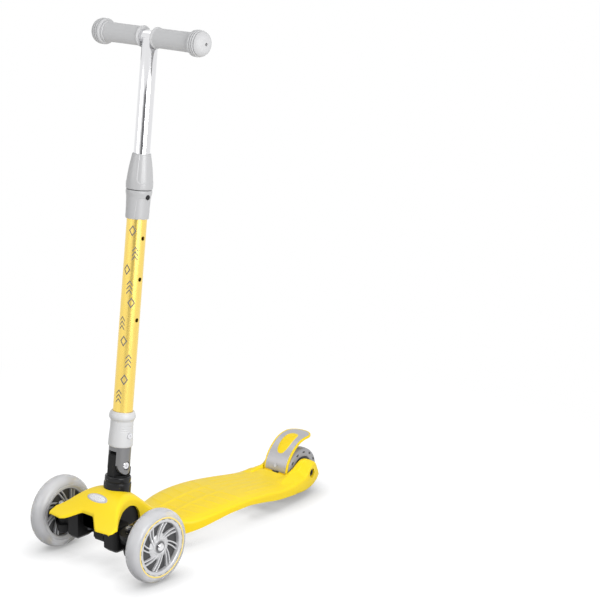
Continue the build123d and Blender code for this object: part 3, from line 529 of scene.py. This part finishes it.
def softened(node, width, paint, body, crease=34):
    """Copy of a solid: doubles merged, flat triangles joined, edges bevelled by width millimetres."""
    shell = bmesh.new()
    shell.from_mesh(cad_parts[node].data)
    bmesh.ops.remove_doubles(shell, verts=shell.verts, dist=2e-6)
    bmesh.ops.dissolve_limit(shell, angle_limit=math.radians(0.6), verts=shell.verts, edges=shell.edges)
    mesh = bpy.data.meshes.new(node + "_shape")
    shell.to_mesh(mesh)
    shell.free()
    for layer in [a.name for a in mesh.attributes if a.name == "custom_normal"]:
        mesh.attributes.remove(mesh.attributes[layer])
    mesh.materials.clear()
    mesh.materials.append(paint)
    mesh.polygons.foreach_set("material_index", np.zeros(len(mesh.polygons), int))
    mesh.shade_smooth()
    mesh.set_sharp_from_angle(angle=math.radians(crease))
    made = bpy.data.objects.new(node + "_shape", mesh)
    scene.collection.objects.link(made)
    bevel = made.modifiers.new("eased_edges", "BEVEL")
    bevel.width = width * 0.001
    bevel.segments = 3
    bevel.limit_method = "ANGLE"
    bevel.angle_limit = math.radians(crease)
    bevel.harden_normals = True
    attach(made, body)
    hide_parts(node)
    return made


def dress(paint, *nodes):
    """Gives solids that stay as they are their surface finish."""
    for node in nodes:
        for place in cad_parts[node].material_slots:
            place.material = paint


def soft_box(angle, power):
    """Unit rounded square: sign times the power of cosine and sine, after the superellipse."""
    c, s = np.cos(angle), np.sin(angle)
    return np.sign(c) * np.abs(c) ** power, np.sign(s) * np.abs(s) ** power


# Painted shade, in part: this black block fills the nose's cavity where the inside of the yellow moulding
# lies in shade.
shroud_y = np.linspace(-26, 45, 37)[:, None]
shroud_u, shroud_v = soft_box(np.linspace(0, 2 * np.pi, 64, endpoint=False)[None], 0.2)
shroud_half = 28.0 - 1.0 * np.clip((shroud_y - 10) / 35, 0, 1) ** 2
shroud_top = deck_height(shroud_half, shroud_y) - SKIN + 1.0
shroud_low = 63.0 + 4.0 * np.clip((shroud_y - 20) / 25, 0, 1) ** 2
shroud_shade_block = np.stack([shroud_half * shroud_u, shroud_y + AXLE_LINE + 0 * shroud_u,
                   (shroud_top + shroud_low) / 2 + (shroud_top - shroud_low) / 2 * shroud_v], -1)
make_piece("beam_shroud_shade", [grid_faces(shroud_shade_block, True, True)], black_plastic, "deck", ["steering_beam"])
softened("steering_beam", 1.1, black_plastic, "deck")
softened("spring_housing", 0.6, black_plastic, "deck")
dress(dark_steel, "kingpin_nuts", "beam_screws")
dress(bright_steel, "kingpins")


def coil_grid(radius, wire, start, end, turns):
    """Tube round a helix: the wire's circle turns with the angle of the coil."""
    angle = np.linspace(0, 2 * np.pi * turns, 24 * turns + 1)[:, None]
    ring = np.linspace(0, 2 * np.pi, 10, endpoint=False)[None]
    reach = radius + wire / 2 * np.cos(ring)
    along = start + (end - start) * angle / angle[-1] + wire / 2 * np.sin(ring)
    return np.stack([reach * np.cos(angle), reach * np.sin(angle), along], -1)


for hand_name, side in SIDES:
    rod_low, rod_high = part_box("centring_spring_" + hand_name)
    rod_y, rod_z = [500 * (rod_low[axis] + rod_high[axis]) for axis in (1, 2)]
    winding = coil_grid(5.3, 1.2, 3.9, 22.6, 6)
    spring = np.stack([winding[..., 2] * side, winding[..., 0] + rod_y, winding[..., 1] + rod_z], -1)
    coil = make_piece("centring_coil_" + hand_name, [grid_faces(spring, True, True)], bright_steel, "deck",
                      ["centring_spring_" + hand_name])
    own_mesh(coil)

# Knuckles: black nylon barrels on the kingpins, each with the stub axle of its wheel and an arm for the tie
# rod. Pale bushes line the barrels, and the bolt heads of the axles show in the middle of the wheels.
pale_nylon = finish("pale_nylon", (0.72, 0.71, 0.68), (0.66, 0.65, 0.62), 0.4)
chrome = finish("chrome", (0.80, 0.80, 0.81), (0.76, 0.76, 0.78), 0.13, size=300, depth=0.0015, metal=1.0)
for hand_name in ("left", "right"):
    softened("knuckle_" + hand_name, 1.3, black_plastic, "knuckle_" + hand_name, 40)
    dress(pale_nylon, "kingpin_bushes_" + hand_name)
    dress(chrome, "front_axle_" + hand_name)
dress(black_plastic, "tie_rod")

# Front wheels: clear polyurethane tyre cast round a silver core of eight swirled double spokes, a dark web
# behind them, a thin yellow ring let into the outer face, and two shielded bearings.
FRONT_PLACE = np.array([108.0, AXLE_LINE, 60.0])
SPOKES = 8
SWIRL = 0.537
SPOKE_START = math.radians(28)
HUB_R = 13.2
RIM_R = 40.8
DASH = 0.157
SHIELD_SCALE = 50.0


def eased(points, ease, steps=4):
    """Closed outline whose corners become quadratic curves that begin and end at most ease away from them."""
    p = np.asarray(points, float)
    before, after = np.roll(p, 1, 0) - p, np.roll(p, -1, 0) - p
    back_end = p + before * np.minimum(ease / np.linalg.norm(before, axis=1, keepdims=True), 0.46)
    fore_end = p + after * np.minimum(ease / np.linalg.norm(after, axis=1, keepdims=True), 0.46)
    t = np.linspace(0, 1, steps)[None, :, None]
    curve = (1 - t) ** 2 * back_end[:, None] + 2 * t * (1 - t) * p[:, None] + t * t * fore_end[:, None]
    return curve.reshape(-1, 2)


def both_faces(half):
    """Outline of (radius, along) points on one face, closed by its mirror image on the other."""
    half = np.asarray(half, float)
    return np.concatenate([half, half[::-1] * (1, -1)])


def swirled_rib(start, offset_in, offset_out, section):
    """Section of (across, along) carried out on a logarithmic spiral, moved sideways by a growing offset."""
    radius = np.linspace(HUB_R, RIM_R, 30)[:, None]
    angle = start + SWIRL * np.log(radius / HUB_R)
    share = (radius - HUB_R) / (RIM_R - HUB_R)
    lean = math.atan(SWIRL)
    across = section[None, :, 0] + offset_in + (offset_out - offset_in) * share ** 0.7
    outwards = radius - math.sin(lean) * across
    around = math.cos(lean) * across
    return np.stack([outwards * np.cos(angle) - around * np.sin(angle),
                     outwards * np.sin(angle) + around * np.cos(angle), section[None, :, 1] + 0 * radius], -1)


def ring_dash(start, sweep, section):
    """Section of (radius, along) carried over a short arc, its ends closed."""
    angle = start + sweep * np.linspace(0, 1, 9)[:, None]
    return np.stack([section[None, :, 0] * np.cos(angle), section[None, :, 0] * np.sin(angle),
                     section[None, :, 1] + 0 * angle], -1)


def wheel_blocks(grids, place, side, ends=False):
    """Grids of a wheel laid on its axle, each closed round its ring and, with ends, at its outer rows."""
    return [grid_faces(on_axle(grid, place, side), ring=True, ends=ends) for grid in grids]


clear_tyre = finish("clear_tyre", (0.84, 0.84, 0.855), (0.74, 0.74, 0.76), 0.22, size=60, patch=25,
                    depth=0.02, transmission_weight=0.5, ior=1.40)
silver_core = finish("silver_core", (0.62, 0.62, 0.63), (0.56, 0.56, 0.57), 0.32, metal=0.25)
dark_core = finish("dark_core", (0.045, 0.045, 0.047), (0.03, 0.03, 0.032), 0.45)
yellow_ring = finish("yellow_ring", (0.92, 0.72, 0.20), (0.88, 0.66, 0.16), 0.35)
tyre_outline = eased(both_faces([(45, 12), (46.5, 13.4), (50, 14), (54.5, 12.8), (58, 9.5), (59.6, 5),
                                 (60, 1.2)]), 2.4, 5)
rim_outline = eased(both_faces([(46.7, 12.2), (46.2, 13.25), (42.0, 13.25), (40.4, 12.2), (39.8, 9.0)]), 0.9)
hub_outline = eased(both_faces([(14.5, 3.0), (14.5, 9.0), (13.9, 9.9), (11.6, 9.9), (11.05, 9.2)]), 0.5)
cone_outline = eased(both_faces([(21.5, 6.0), (18.5, 8.0), (13.6, 9.2)]), 0.8)
web_outline = both_faces([(41.0, 6.2), (13.0, 6.2)])
ring_outline = eased([(46.9, 13.2), (49.2, 13.2), (49.2, 14.0), (46.9, 14.0)], 0.35)
rib_section = eased([(-1.2, -9.9), (1.2, -9.9), (1.2, 9.9), (-1.2, 9.9)], 0.7)
dash_section = eased([(45.5, 12.9), (46.2, 12.9), (46.2, 13.34), (45.5, 13.34)], 0.15)
spoke_starts = SPOKE_START + 2 * np.pi / SPOKES * np.arange(SPOKES)
for hand_name, side in SIDES:
    at = (FRONT_PLACE * (side, 1, 1), side)
    wheel = "front_wheel_" + hand_name
    core = "front_core_" + hand_name
    cast = wheel_blocks([lathe(tyre_outline, 144)], *at)
    make_piece("front_tyre_" + hand_name + "_cast", cast, clear_tyre, wheel, ["front_tyre_" + hand_name],
               60)
    ribs = [swirled_rib(start, edge * 1.9, edge * 3.4, rib_section)
            for start in spoke_starts for edge in (-1, 1)]
    spokes = wheel_blocks(ribs, *at, ends=True)
    spokes += wheel_blocks([lathe(rim_outline, 144), lathe(hub_outline), lathe(cone_outline)], *at)
    make_piece(core + "_spokes", spokes, silver_core, wheel, [core])
    dashes = [ring_dash(DASH * 2 * k, DASH, dash_section) for k in range(20)]
    web = wheel_blocks([lathe(web_outline)], *at) + wheel_blocks(dashes, *at, ends=True)
    make_piece(core + "_web", web, dark_core, wheel, [core])
    band = wheel_blocks([lathe(ring_outline, 144)], *at)
    make_piece("front_ring_" + hand_name + "_band", band, yellow_ring, wheel, ["front_ring_" + hand_name])


def shielded(name, middle):
    """Bearing steel with a dark shield: the distance from the axle, in Y and Z, picks the tone."""
    paint = finish(name, (0.55, 0.55, 0.56), (0.48, 0.48, 0.49), 0.26, metal=1.0)
    tree = paint.node_tree
    place = add_node(tree, "TexCoord").outputs["Object"]
    move = add_node(tree, "VectorMath", place, middle, operation="SUBTRACT")
    flat = add_node(tree, "VectorMath", move.outputs["Vector"], (0.0, 1.0, 1.0), operation="MULTIPLY")
    reach = add_node(tree, "VectorMath", flat.outputs["Vector"], operation="LENGTH")
    scaled = add_node(tree, "Math", reach.outputs["Value"], SHIELD_SCALE, operation="MULTIPLY")
    tone = add_node(tree, "ValToRGB", Fac=scaled.outputs[0])
    steps = tone.color_ramp.elements
    for step, at in ((0, 0.0052), (1, 0.0100)):
        steps[step].position = at * SHIELD_SCALE
        steps[step].color = (0.5, 0.5, 0.51, 1)
    for at in (0.0056, 0.0096):
        steps.new(at * SHIELD_SCALE).color = (0.20, 0.20, 0.205, 1)
    tree.links.new(tone.outputs["Color"], tree.nodes["Principled BSDF"].inputs["Base Color"])
    tree.nodes.remove(tree.nodes["Mix"])
    return paint


dress(shielded("front_bearing", tuple(FRONT_PLACE * (0, 0.001, 0.001))), "front_bearings_left",
      "front_bearings_right")

# Stem foot: cast base with the hinge tongue, bolted across in the socket, and a glossy black collar of two
# rings that hides the joint with the deck.
STEM_FOOT = np.array([0.0, -193.75, 127.4])
RAKE = math.radians(5.8)
STEM_SIDE = np.array([1.0, 0.0, 0.0])
STEM_BACK = np.array([0.0, math.cos(RAKE), -math.sin(RAKE)])
STEM_UP = np.array([0.0, math.sin(RAKE), math.cos(RAKE)])


def on_stem(grid):
    """Lays (side, back, along) points on the leaning axis of the stem."""
    return STEM_FOOT + grid[..., :1] * STEM_SIDE + grid[..., 1:2] * STEM_BACK + grid[..., 2:] * STEM_UP


black_gloss = finish("black_gloss", (0.010, 0.010, 0.011), (0.014, 0.014, 0.015), 0.16, size=260, depth=0.02,
                     specular_ior_level=0.22)
collar_outline = eased([(16.6, -18), (22.2, -18), (22.2, 4.8), (20.3, 5.8), (20.3, 6.8), (21.2, 7.6),
                        (21.2, 14.2), (20.0, 16.0), (16.6, 16.0)], 0.9)
make_piece("stem_collar_rings", [grid_faces(on_stem(lathe(collar_outline)), ring=True)], black_gloss, "deck",
           ["stem_collar"])
softened("stem_base", 0.8, black_plastic, "deck")
dress(dark_steel, "stem_cross_bolt")

# Folding fork: dark grey die casting with two round-ended cheeks about the tongue. The fold bolt runs through
# both, and the spring of the lock sits above its plunger.
fork_grey = finish("fork_grey", (0.23, 0.23, 0.235), (0.19, 0.19, 0.195), 0.33, size=1400, depth=0.12,
                   metal=0.65)
softened("fold_fork", 0.7, fork_grey, "stem")
dress(chrome, "fold_bolt")
dress(bright_steel, "lock_plunger")
lock_winding = on_stem(coil_grid(6.0, 1.5, 101.0, 129.0, 7))
lock_coil = make_piece("lock_spring_coil", [grid_faces(lock_winding, True, True)], bright_steel, "stem",
                       ["lock_spring"])
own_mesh(lock_coil)

# Stem tube: drawn aluminium, satin anodised in pale gold, with a row of height holes on the left. Flat grey
# printed marks lie on its front: open diamonds with stacks of three chevrons between them.
PRINT_R = 16.05
PRINT_UNDER = 15.8
gold_tube = finish("gold_tube", (0.94, 0.72, 0.20), (0.90, 0.64, 0.14), 0.27, size=900, patch=240, depth=0.05,
                   metal=0.9, stretch=(1, 1, 0.02))
print_grey = finish("print_grey", (0.16, 0.15, 0.13), (0.13, 0.12, 0.11), 0.5)
dress(gold_tube, "stem_tube")


def printed_patch(corners):
    """Four corners given as (degrees from the left side, along) laid on the tube as a thin film."""
    s = np.linspace(0, 1, 13)
    a, b, c, d = np.array(corners, float)[:, None, None, :]
    t = s[:, None, None]
    u = np.concatenate([s, s[::-1]])[None, :, None]
    flat = (1 - t) * ((1 - u) * a + u * b) + t * ((1 - u) * d + u * c)
    angle = np.radians(flat[..., 0])
    radius = np.concatenate([np.full(13, PRINT_R), np.full(13, PRINT_UNDER)])[None]
    return np.stack([radius * np.cos(angle), radius * np.sin(angle), flat[..., 1]], -1)


print_blocks = []
for along, angle in ((414, -66), (352, -84), (300, -44), (238, -72), (176, -52)):
    for half in (-1, 1):
        outer, inner = (angle + half * 22, along), (angle + half * 14, along)
        for tip in (-1, 1):
            print_blocks.append([(angle, along + tip * 9), outer, inner, (angle, along + tip * 6)])
for along, angle in ((380, -42), (326, -60), (268, -90), (208, -36), (150, -78)):
    for at in (along - 7, along, along + 7):
        for wing in (angle - 17, angle + 17):
            print_blocks.append([(angle, at), (angle, at + 2.6), (wing, at - 3.6), (wing, at - 6.2)])
print_films = [grid_faces(on_stem(printed_patch(corners)), True, True) for corners in print_blocks]
make_piece("tube_print", print_films, print_grey, "stem")

# Lock sleeve: near-white plastic sliding on the tube, with a bulged pull ring, three finger grooves and a
# counterbore at each side for the shoulder screw that carries the plunger.
SCREW_LEVEL = 84.6
sleeve_white = finish("sleeve_white", (0.60, 0.60, 0.605), (0.55, 0.55, 0.555), 0.42, size=1800, depth=0.08)
sleeve_line = np.array([(65, 18.9), (65.7, 19.5), (67.4, 19.8), (76, 19.6), (98, 18.5), (106.4, 18.45),
                        (108.6, 19.4), (111.4, 21.0), (114, 21.4), (116.6, 21.0), (120.2, 19.6),
                        (122.3, 18.1)], float)
around = np.linspace(0, 2 * np.pi, 241)[:, None]
from_side = np.minimum(np.abs((around + np.pi / 2) % np.pi - np.pi / 2), np.pi)
sleeve_along = np.linspace(65, 122.3, 200)[None]
sleeve_r = steady_through(sleeve_line, sleeve_along)
grooves = sum(plateau(sleeve_along - at, 0.55, 0.9) for at in (91.5, 95.2, 98.9))
grooves = grooves * plateau(np.degrees(from_side), 46, 10)
screw_reach = np.hypot(sleeve_r * np.sin(from_side), sleeve_along - SCREW_LEVEL)
screw_reach = screw_reach + 20 * (np.cos(from_side) < 0.5)
seat = plateau(screw_reach, 5.3, 0.7)
sleeve_r = sleeve_r - 0.45 * grooves - seat * (sleeve_r - 18.0 / np.maximum(np.cos(from_side), 0.5))
sleeve_out = np.stack([sleeve_r * np.cos(around), sleeve_r * np.sin(around), sleeve_along + 0 * around], -1)
sleeve_bore = lathe(np.array([(16.3, 122.3), (16.3, 69.0), (18.3, 69.0), (18.3, 65.0)]), 240)
sleeve_grid = on_stem(np.concatenate([sleeve_out, sleeve_bore], 1))
make_piece("lock_sleeve_shell", [grid_faces(sleeve_grid, ring=True)], sleeve_white, "sleeve", ["lock_sleeve"])
dress(chrome, "sleeve_screws")

# Height clamp: two mid-grey plastic shells on top of the tube with sunk side panels, a black ring in the gap
# between them as painted shade, a bush inside, and the black button that frees the height pin.
clamp_grey = finish("clamp_grey", (0.42, 0.42, 0.425), (0.38, 0.38, 0.385), 0.30, size=1800, depth=0.08)


def clamp_shell(line, bore, sunk):
    """Outer radius along the stem less a sunk panel at each side, closed by the bore's outline."""
    along = np.linspace(line[0, 0], line[-1, 0], 130)[None]
    radius = steady_through(line, along)
    radius = radius - 0.6 * sunk(radius, along)
    out = np.stack([radius * np.cos(around), radius * np.sin(around), along + 0 * around], -1)
    return grid_faces(on_stem(np.concatenate([out, lathe(np.array(bore, float), 240)], 1)), ring=True)


def round_corner(u, v, corner):
    """One where both distances lie inside an edge with a rounded corner, zero outside, ramped over 0.9 mm."""
    outside = np.hypot(np.maximum(u + corner, 0), np.maximum(v + corner, 0))
    reach = outside + np.minimum(np.maximum(u, v) + corner, 0) - corner
    s = np.clip(0.5 - reach / 0.9, 0, 1)
    return s * s * (3 - 2 * s)


def upper_panel(radius, along):
    """Sunk panel of the upper shell: within 58 degrees of each side, from 488 mm along the stem upwards."""
    return round_corner((from_side - math.radians(58)) * radius, 488.0 - along, 8.0)


def lower_panel(radius, along):
    """Sunk panel of the lower shell: up to 466 mm along the stem, its sides spreading evenly downwards."""
    edge = np.radians(50 + 0.3 * (471 - along))
    return round_corner((from_side - edge) * radius, along - 466.0, 5.0)


upper_line = np.array([(478.5, 20.3), (479.3, 20.9), (481, 21.2), (489, 21.3), (508, 19.6), (527, 16.4),
                       (533, 15.3), (534, 14.6)], float)
upper_bore = [(13.0, 534), (13.0, 529), (14.32, 529), (14.32, 490.1), (16.02, 490.1), (16.02, 478.5)]
lower_line = np.array([(432.3, 18.3), (432.9, 18.8), (433.9, 19.05), (450, 19.2), (466.5, 19.5), (470, 20.1),
                       (473.5, 20.75), (476.2, 20.75), (477.1, 20.5), (477.5, 20.0)], float)
lower_bore = [(16.02, 477.5), (16.02, 432.3)]
make_piece("upper_clamp_shell", [clamp_shell(upper_line, upper_bore, upper_panel)], clamp_grey, "stem",
           ["upper_clamp"])
make_piece("lower_clamp_shell", [clamp_shell(lower_line, lower_bore, lower_panel)], clamp_grey, "stem",
           ["lower_clamp"])
# Painted shade: a black ring fills the gap between the shells, where the gold tube would otherwise show
# through.
gap_shade_ring = lathe(np.array([(16.1, 477.2), (19.6, 477.2), (19.6, 478.8), (16.1, 478.8)]), 120)
make_piece("clamp_gap_painted_shade", [grid_faces(on_stem(gap_shade_ring), ring=True)], black_plastic, "stem",
           ["lower_clamp"])
dress(black_gloss, "height_button")
dress(pale_nylon, "tube_bush")

# Handlebar: chromed steel upright with a cross tube welded on top, the sprung height pin inside and a
# plastic plug at the foot of the tube.
upright_outline = np.array([(11.3, 452), (12.6, 452), (12.7, 452.3), (12.7, 711.7), (12.4, 712),
                            (11.3, 712)], float)
upright_grid = on_stem(lathe(upright_outline, 128))
make_piece("handlebar_upright_tube", [grid_faces(upright_grid, ring=True)], chrome, "handlebar",
           ["handlebar_upright"], 50)
dress(chrome, "handlebar_cross")
clip = softened("snap_clip", 0.15, bright_steel, "handlebar")
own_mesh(clip)
dress(black_plastic, "tube_plug")

# Grips: soft mid-grey rubber pushed on to the cross tube, with an inner flange, a step, and a bulb whose
# shoulder carries three ring grooves round a domed end with a small vent.
BAR_LEVEL = 713.0
grip_rubber = finish("grip_rubber", (0.49, 0.49, 0.495), (0.45, 0.45, 0.455), 0.58, size=1600, depth=0.3)
grip_line = np.array([(16.0, 14), (16.6, 14.3), (16.8, 14.9), (16.7, 15.7), (16.0, 16.8), (15.4, 18.0),
                      (15.2, 19.4), (15.2, 50), (15.6, 87), (16.2, 88.6), (16.9, 89.4), (17.2, 90.4),
                      (17.3, 92), (18.2, 92.8), (19.6, 93.6), (20.3, 95.6), (20.5, 99), (20.4, 103),
                      (19.7, 106.5), (18.2, 109.8), (15.6, 112.8), (11.5, 115.2), (6, 116.3),
                      (2.5, 116.5)], float)


def along_path(line, count, curve):
    """Line of points drawn through by a curve of its own length: that length, both coordinates and the unit
    direction at evenly spread places."""
    length = np.concatenate([[0], np.cumsum(np.linalg.norm(np.diff(line, axis=0), axis=1))])
    at = np.linspace(0, length[-1], count)
    u, v = [curve(np.stack([length, line[:, axis]], 1), at) for axis in (0, 1)]
    way = np.stack([np.gradient(u), np.gradient(v)], 1)
    return at, u, v, way / np.linalg.norm(way, axis=1, keepdims=True)


grip_r, grip_x, grip_way = along_path(grip_line, 420, steady_through)[1:]
end_rings = np.array([98.6, 102.6, 106.4])[:, None]
ring_cut = 1.9 * np.exp(-(((grip_x[None] - end_rings) / 0.75) ** 2)).sum(0)
step_cut = 0.9 * np.exp(-(((grip_x - np.array([88.2, 92.4])[:, None]) / 0.45) ** 2)).sum(0)
grip_cut = np.maximum(ring_cut, step_cut)[:, None] * np.stack([-grip_way[:, 1], grip_way[:, 0]], 1)
grip_out = np.stack([grip_r, grip_x], 1) + grip_cut
grip_bore = np.array([(2.5, 108.5), (11.02, 107.5), (11.02, 14.0)])
grip_outline = np.concatenate([grip_out, grip_bore])
bar_middle = STEM_FOOT + BAR_LEVEL * STEM_UP
for hand_name, side in SIDES:
    grip_grid = on_axle(lathe(grip_outline, 112), bar_middle, side)
    make_piece("grip_" + hand_name + "_rubber", [grid_faces(grip_grid, ring=True)], grip_rubber, "handlebar",
               ["grip_" + hand_name], 50)

# Rear wheels: twin small wheels on one axle, grey clear tyres with dark windows round the core, black bolt
# and nut sunk in the arms, and washers between.
REAR_SPREAD = 13.7
WINDOWS = 12
WINDOW_PITCH = 0.5236
smoke_tyre = finish("smoke_tyre", (0.46, 0.46, 0.48), (0.40, 0.40, 0.42), 0.3, size=60, patch=25, depth=0.02,
                    transmission_weight=0.3, ior=1.42)
rear_outline = eased(both_faces([(25.4, 11), (26.4, 12), (35, 12), (38.2, 10.4), (39.6, 6.5), (40, 1.2)]),
                     2.2, 5)
rear_core_outline = eased(both_faces([(25.5, 10.0), (24.8, 10.7), (22.0, 10.7), (21.4, 10.0), (21.2, 3.6),
                                      (14.2, 3.6), (14.0, 11.5), (13.4, 12.0), (11.05, 12.0)]), 0.5)
window_section = eased([(31.6, 11.6), (34.8, 11.6), (34.8, 12.04), (31.6, 12.04)], 0.1)
for hand_name, side in SIDES:
    at = (REAR_AXLE + (REAR_SPREAD * side, 0, 0), side)
    wheel = "rear_wheel_" + hand_name
    tyre = "rear_tyre_" + hand_name
    core = "rear_core_" + hand_name
    make_piece(tyre + "_cast", wheel_blocks([lathe(rear_outline, 120)], *at), smoke_tyre, wheel, [tyre],
               60)
    make_piece(core + "_hub", wheel_blocks([lathe(rear_core_outline)], *at), dark_core, wheel, [core])
    windows = [ring_dash(WINDOW_PITCH * k, 0.17, window_section * (1, face))
               for k in range(WINDOWS) for face in (1, -1)]
    make_piece(tyre + "_windows", wheel_blocks(windows, *at, ends=True), dark_core, wheel, [tyre])
dress(shielded("rear_bearing", tuple(REAR_AXLE * 0.001)), "rear_bearings_left", "rear_bearings_right")
dress(black_gloss, "rear_axle", "rear_axle_nut")
dress(dark_steel, "rear_spacers", "brake_pin", "brake_spring")

# Rear brake: a yellow carrier hinged in the deck's end, a pressed steel plate let into it, an oval ribbed
# foot pad through the plate and one rivet.
BRAKE_HALF = 26.0
SHOULDER = 474.0
BRAKE_TIP = 495.6
PAD_AT = 448.6
PAD_HALF = (12.0, 22.4)
PAD_PITCH = 3.1
brake_line = np.array([(414.8, 44.5), (417.3, 57), (422.5, 68.5), (436.5, 85), (451, 95), (470, 99.7),
                       (484, 100.4), (496, 100.4)], float)
path_fine, fine_y, fine_z, brake_way = along_path(brake_line, 400, smooth_through)


def brake_point(x, y, depth):
    """Point at a depth below the brake's curve, taken square to the curve in the side view."""
    z = np.interp(y, fine_y, fine_z)
    way_y, way_z = np.interp(y, fine_y, brake_way[:, 0]), np.interp(y, fine_y, brake_way[:, 1])
    return np.stack([x + 0 * depth, y + AXLE_LINE + depth * way_z, z - depth * way_y], -1)


def brake_sheet(profile):
    """Profile of (inset, depth) carried along the brake's outline: up one side, round the end and down."""
    straight = np.interp(np.linspace(0, np.interp(SHOULDER, fine_y, path_fine), 60), path_fine, fine_y)
    bend = np.linspace(np.pi, 0, 49)[1:-1]
    edge_x = np.concatenate([-np.ones(60), np.cos(bend), np.ones(60)])[:, None]
    round_end = (BRAKE_TIP - SHOULDER) * np.sin(bend)
    edge_y = np.concatenate([straight - SHOULDER, round_end, straight[::-1] - SHOULDER])[:, None]
    share = 1 - profile[None, :, 0] / BRAKE_HALF
    x = BRAKE_HALF * edge_x * share
    y = SHOULDER + np.where(edge_y > 0, edge_y * share, edge_y)
    return brake_point(x, y, profile[None, :, 1] + 0 * x)


plate_steel = finish("plate_steel", (0.48, 0.475, 0.49), (0.42, 0.415, 0.43), 0.34, size=1600, patch=120,
                     depth=0.06, metal=0.9, stretch=(0.06, 1, 1))
inset_steps = np.linspace(BRAKE_HALF, 4.0, 14)
carrier_side = eased([(3.4, 1.3), (3.0, -0.1), (0.0, -0.1), (0.0, 3.8), (3.4, 3.8)], 0.9)[2:-2]
carrier_profile = np.concatenate([np.stack([inset_steps, np.full(14, 1.3)], 1), carrier_side,
                                  np.stack([inset_steps[::-1], np.full(14, 3.8)], 1)])
barrel = lathe(eased(np.array([(2.55, 7.5), (4.6, 7.5), (4.6, 25.5), (2.55, 25.5)]), 0.6), 48)
hinge_place = np.array([0.0, 413.6 + AXLE_LINE, 37.0])
carrier_blocks = [grid_faces(brake_sheet(carrier_profile), ends=True)]
for side in (1, -1):
    carrier_blocks += wheel_blocks([barrel], hinge_place, side)
    web_u, web_v = soft_box(np.linspace(0, 2 * np.pi, 24, endpoint=False)[None], 0.3)
    web_t = np.linspace(0, 1, 9)[:, None]
    lug = np.stack([side * 16.5 + 9.0 * web_u + 0 * web_t, 415.2 + AXLE_LINE + 2.0 * web_t + 1.0 * web_v,
                    39.0 + 7.5 * web_t + 0 * web_u], -1)
    carrier_blocks.append(grid_faces(lug, True, True))
make_piece("brake_carrier_moulding", carrier_blocks, yellow_plastic, "brake", ["brake_carrier"],
           40)
plate_side = eased([(4.0, 0.0), (3.1, 0.0), (3.1, 1.28), (4.0, 1.28)], 0.3)
plate_profile = np.concatenate([np.stack([inset_steps, np.zeros(14)], 1), plate_side[4:-4],
                                np.stack([inset_steps[::-1], np.full(14, 1.28)], 1)])
make_piece("brake_plate_pressing", [grid_faces(brake_sheet(plate_profile), ends=True)], plate_steel, "brake",
           ["brake_plate"], 40)
pad_reach = np.concatenate([np.linspace(0, 0.9, 25), [0.94, 0.97, 0.99, 1.0, 1.0, 0.0]])[:, None]
pad_low = np.concatenate([np.zeros(25), [0.1, 0.3, 0.6, 1.0, 2.6, 2.6]])[:, None]
pad_turn = np.linspace(0, 2 * np.pi, 161)[None]
pad_u, pad_v = soft_box(pad_turn, 0.74)
pad_x = PAD_HALF[0] * pad_reach * pad_u
pad_y = PAD_AT + PAD_HALF[1] * pad_reach * pad_v
pad_wave = 1 + np.cos(2 * np.pi * np.interp(pad_y, fine_y, path_fine) / PAD_PITCH)
pad_ribs = 0.35 * pad_wave * plateau(pad_reach, 0.86, 0.1)
pad_grid = brake_point(pad_x, pad_y, pad_low - 0.55 - pad_ribs)
make_piece("brake_pad_ribbed", [grid_faces(pad_grid)], yellow_plastic, "brake", ["brake_pad"],
           50)
dress(bright_steel, "brake_rivet")

bpy.context.view_layer.update()
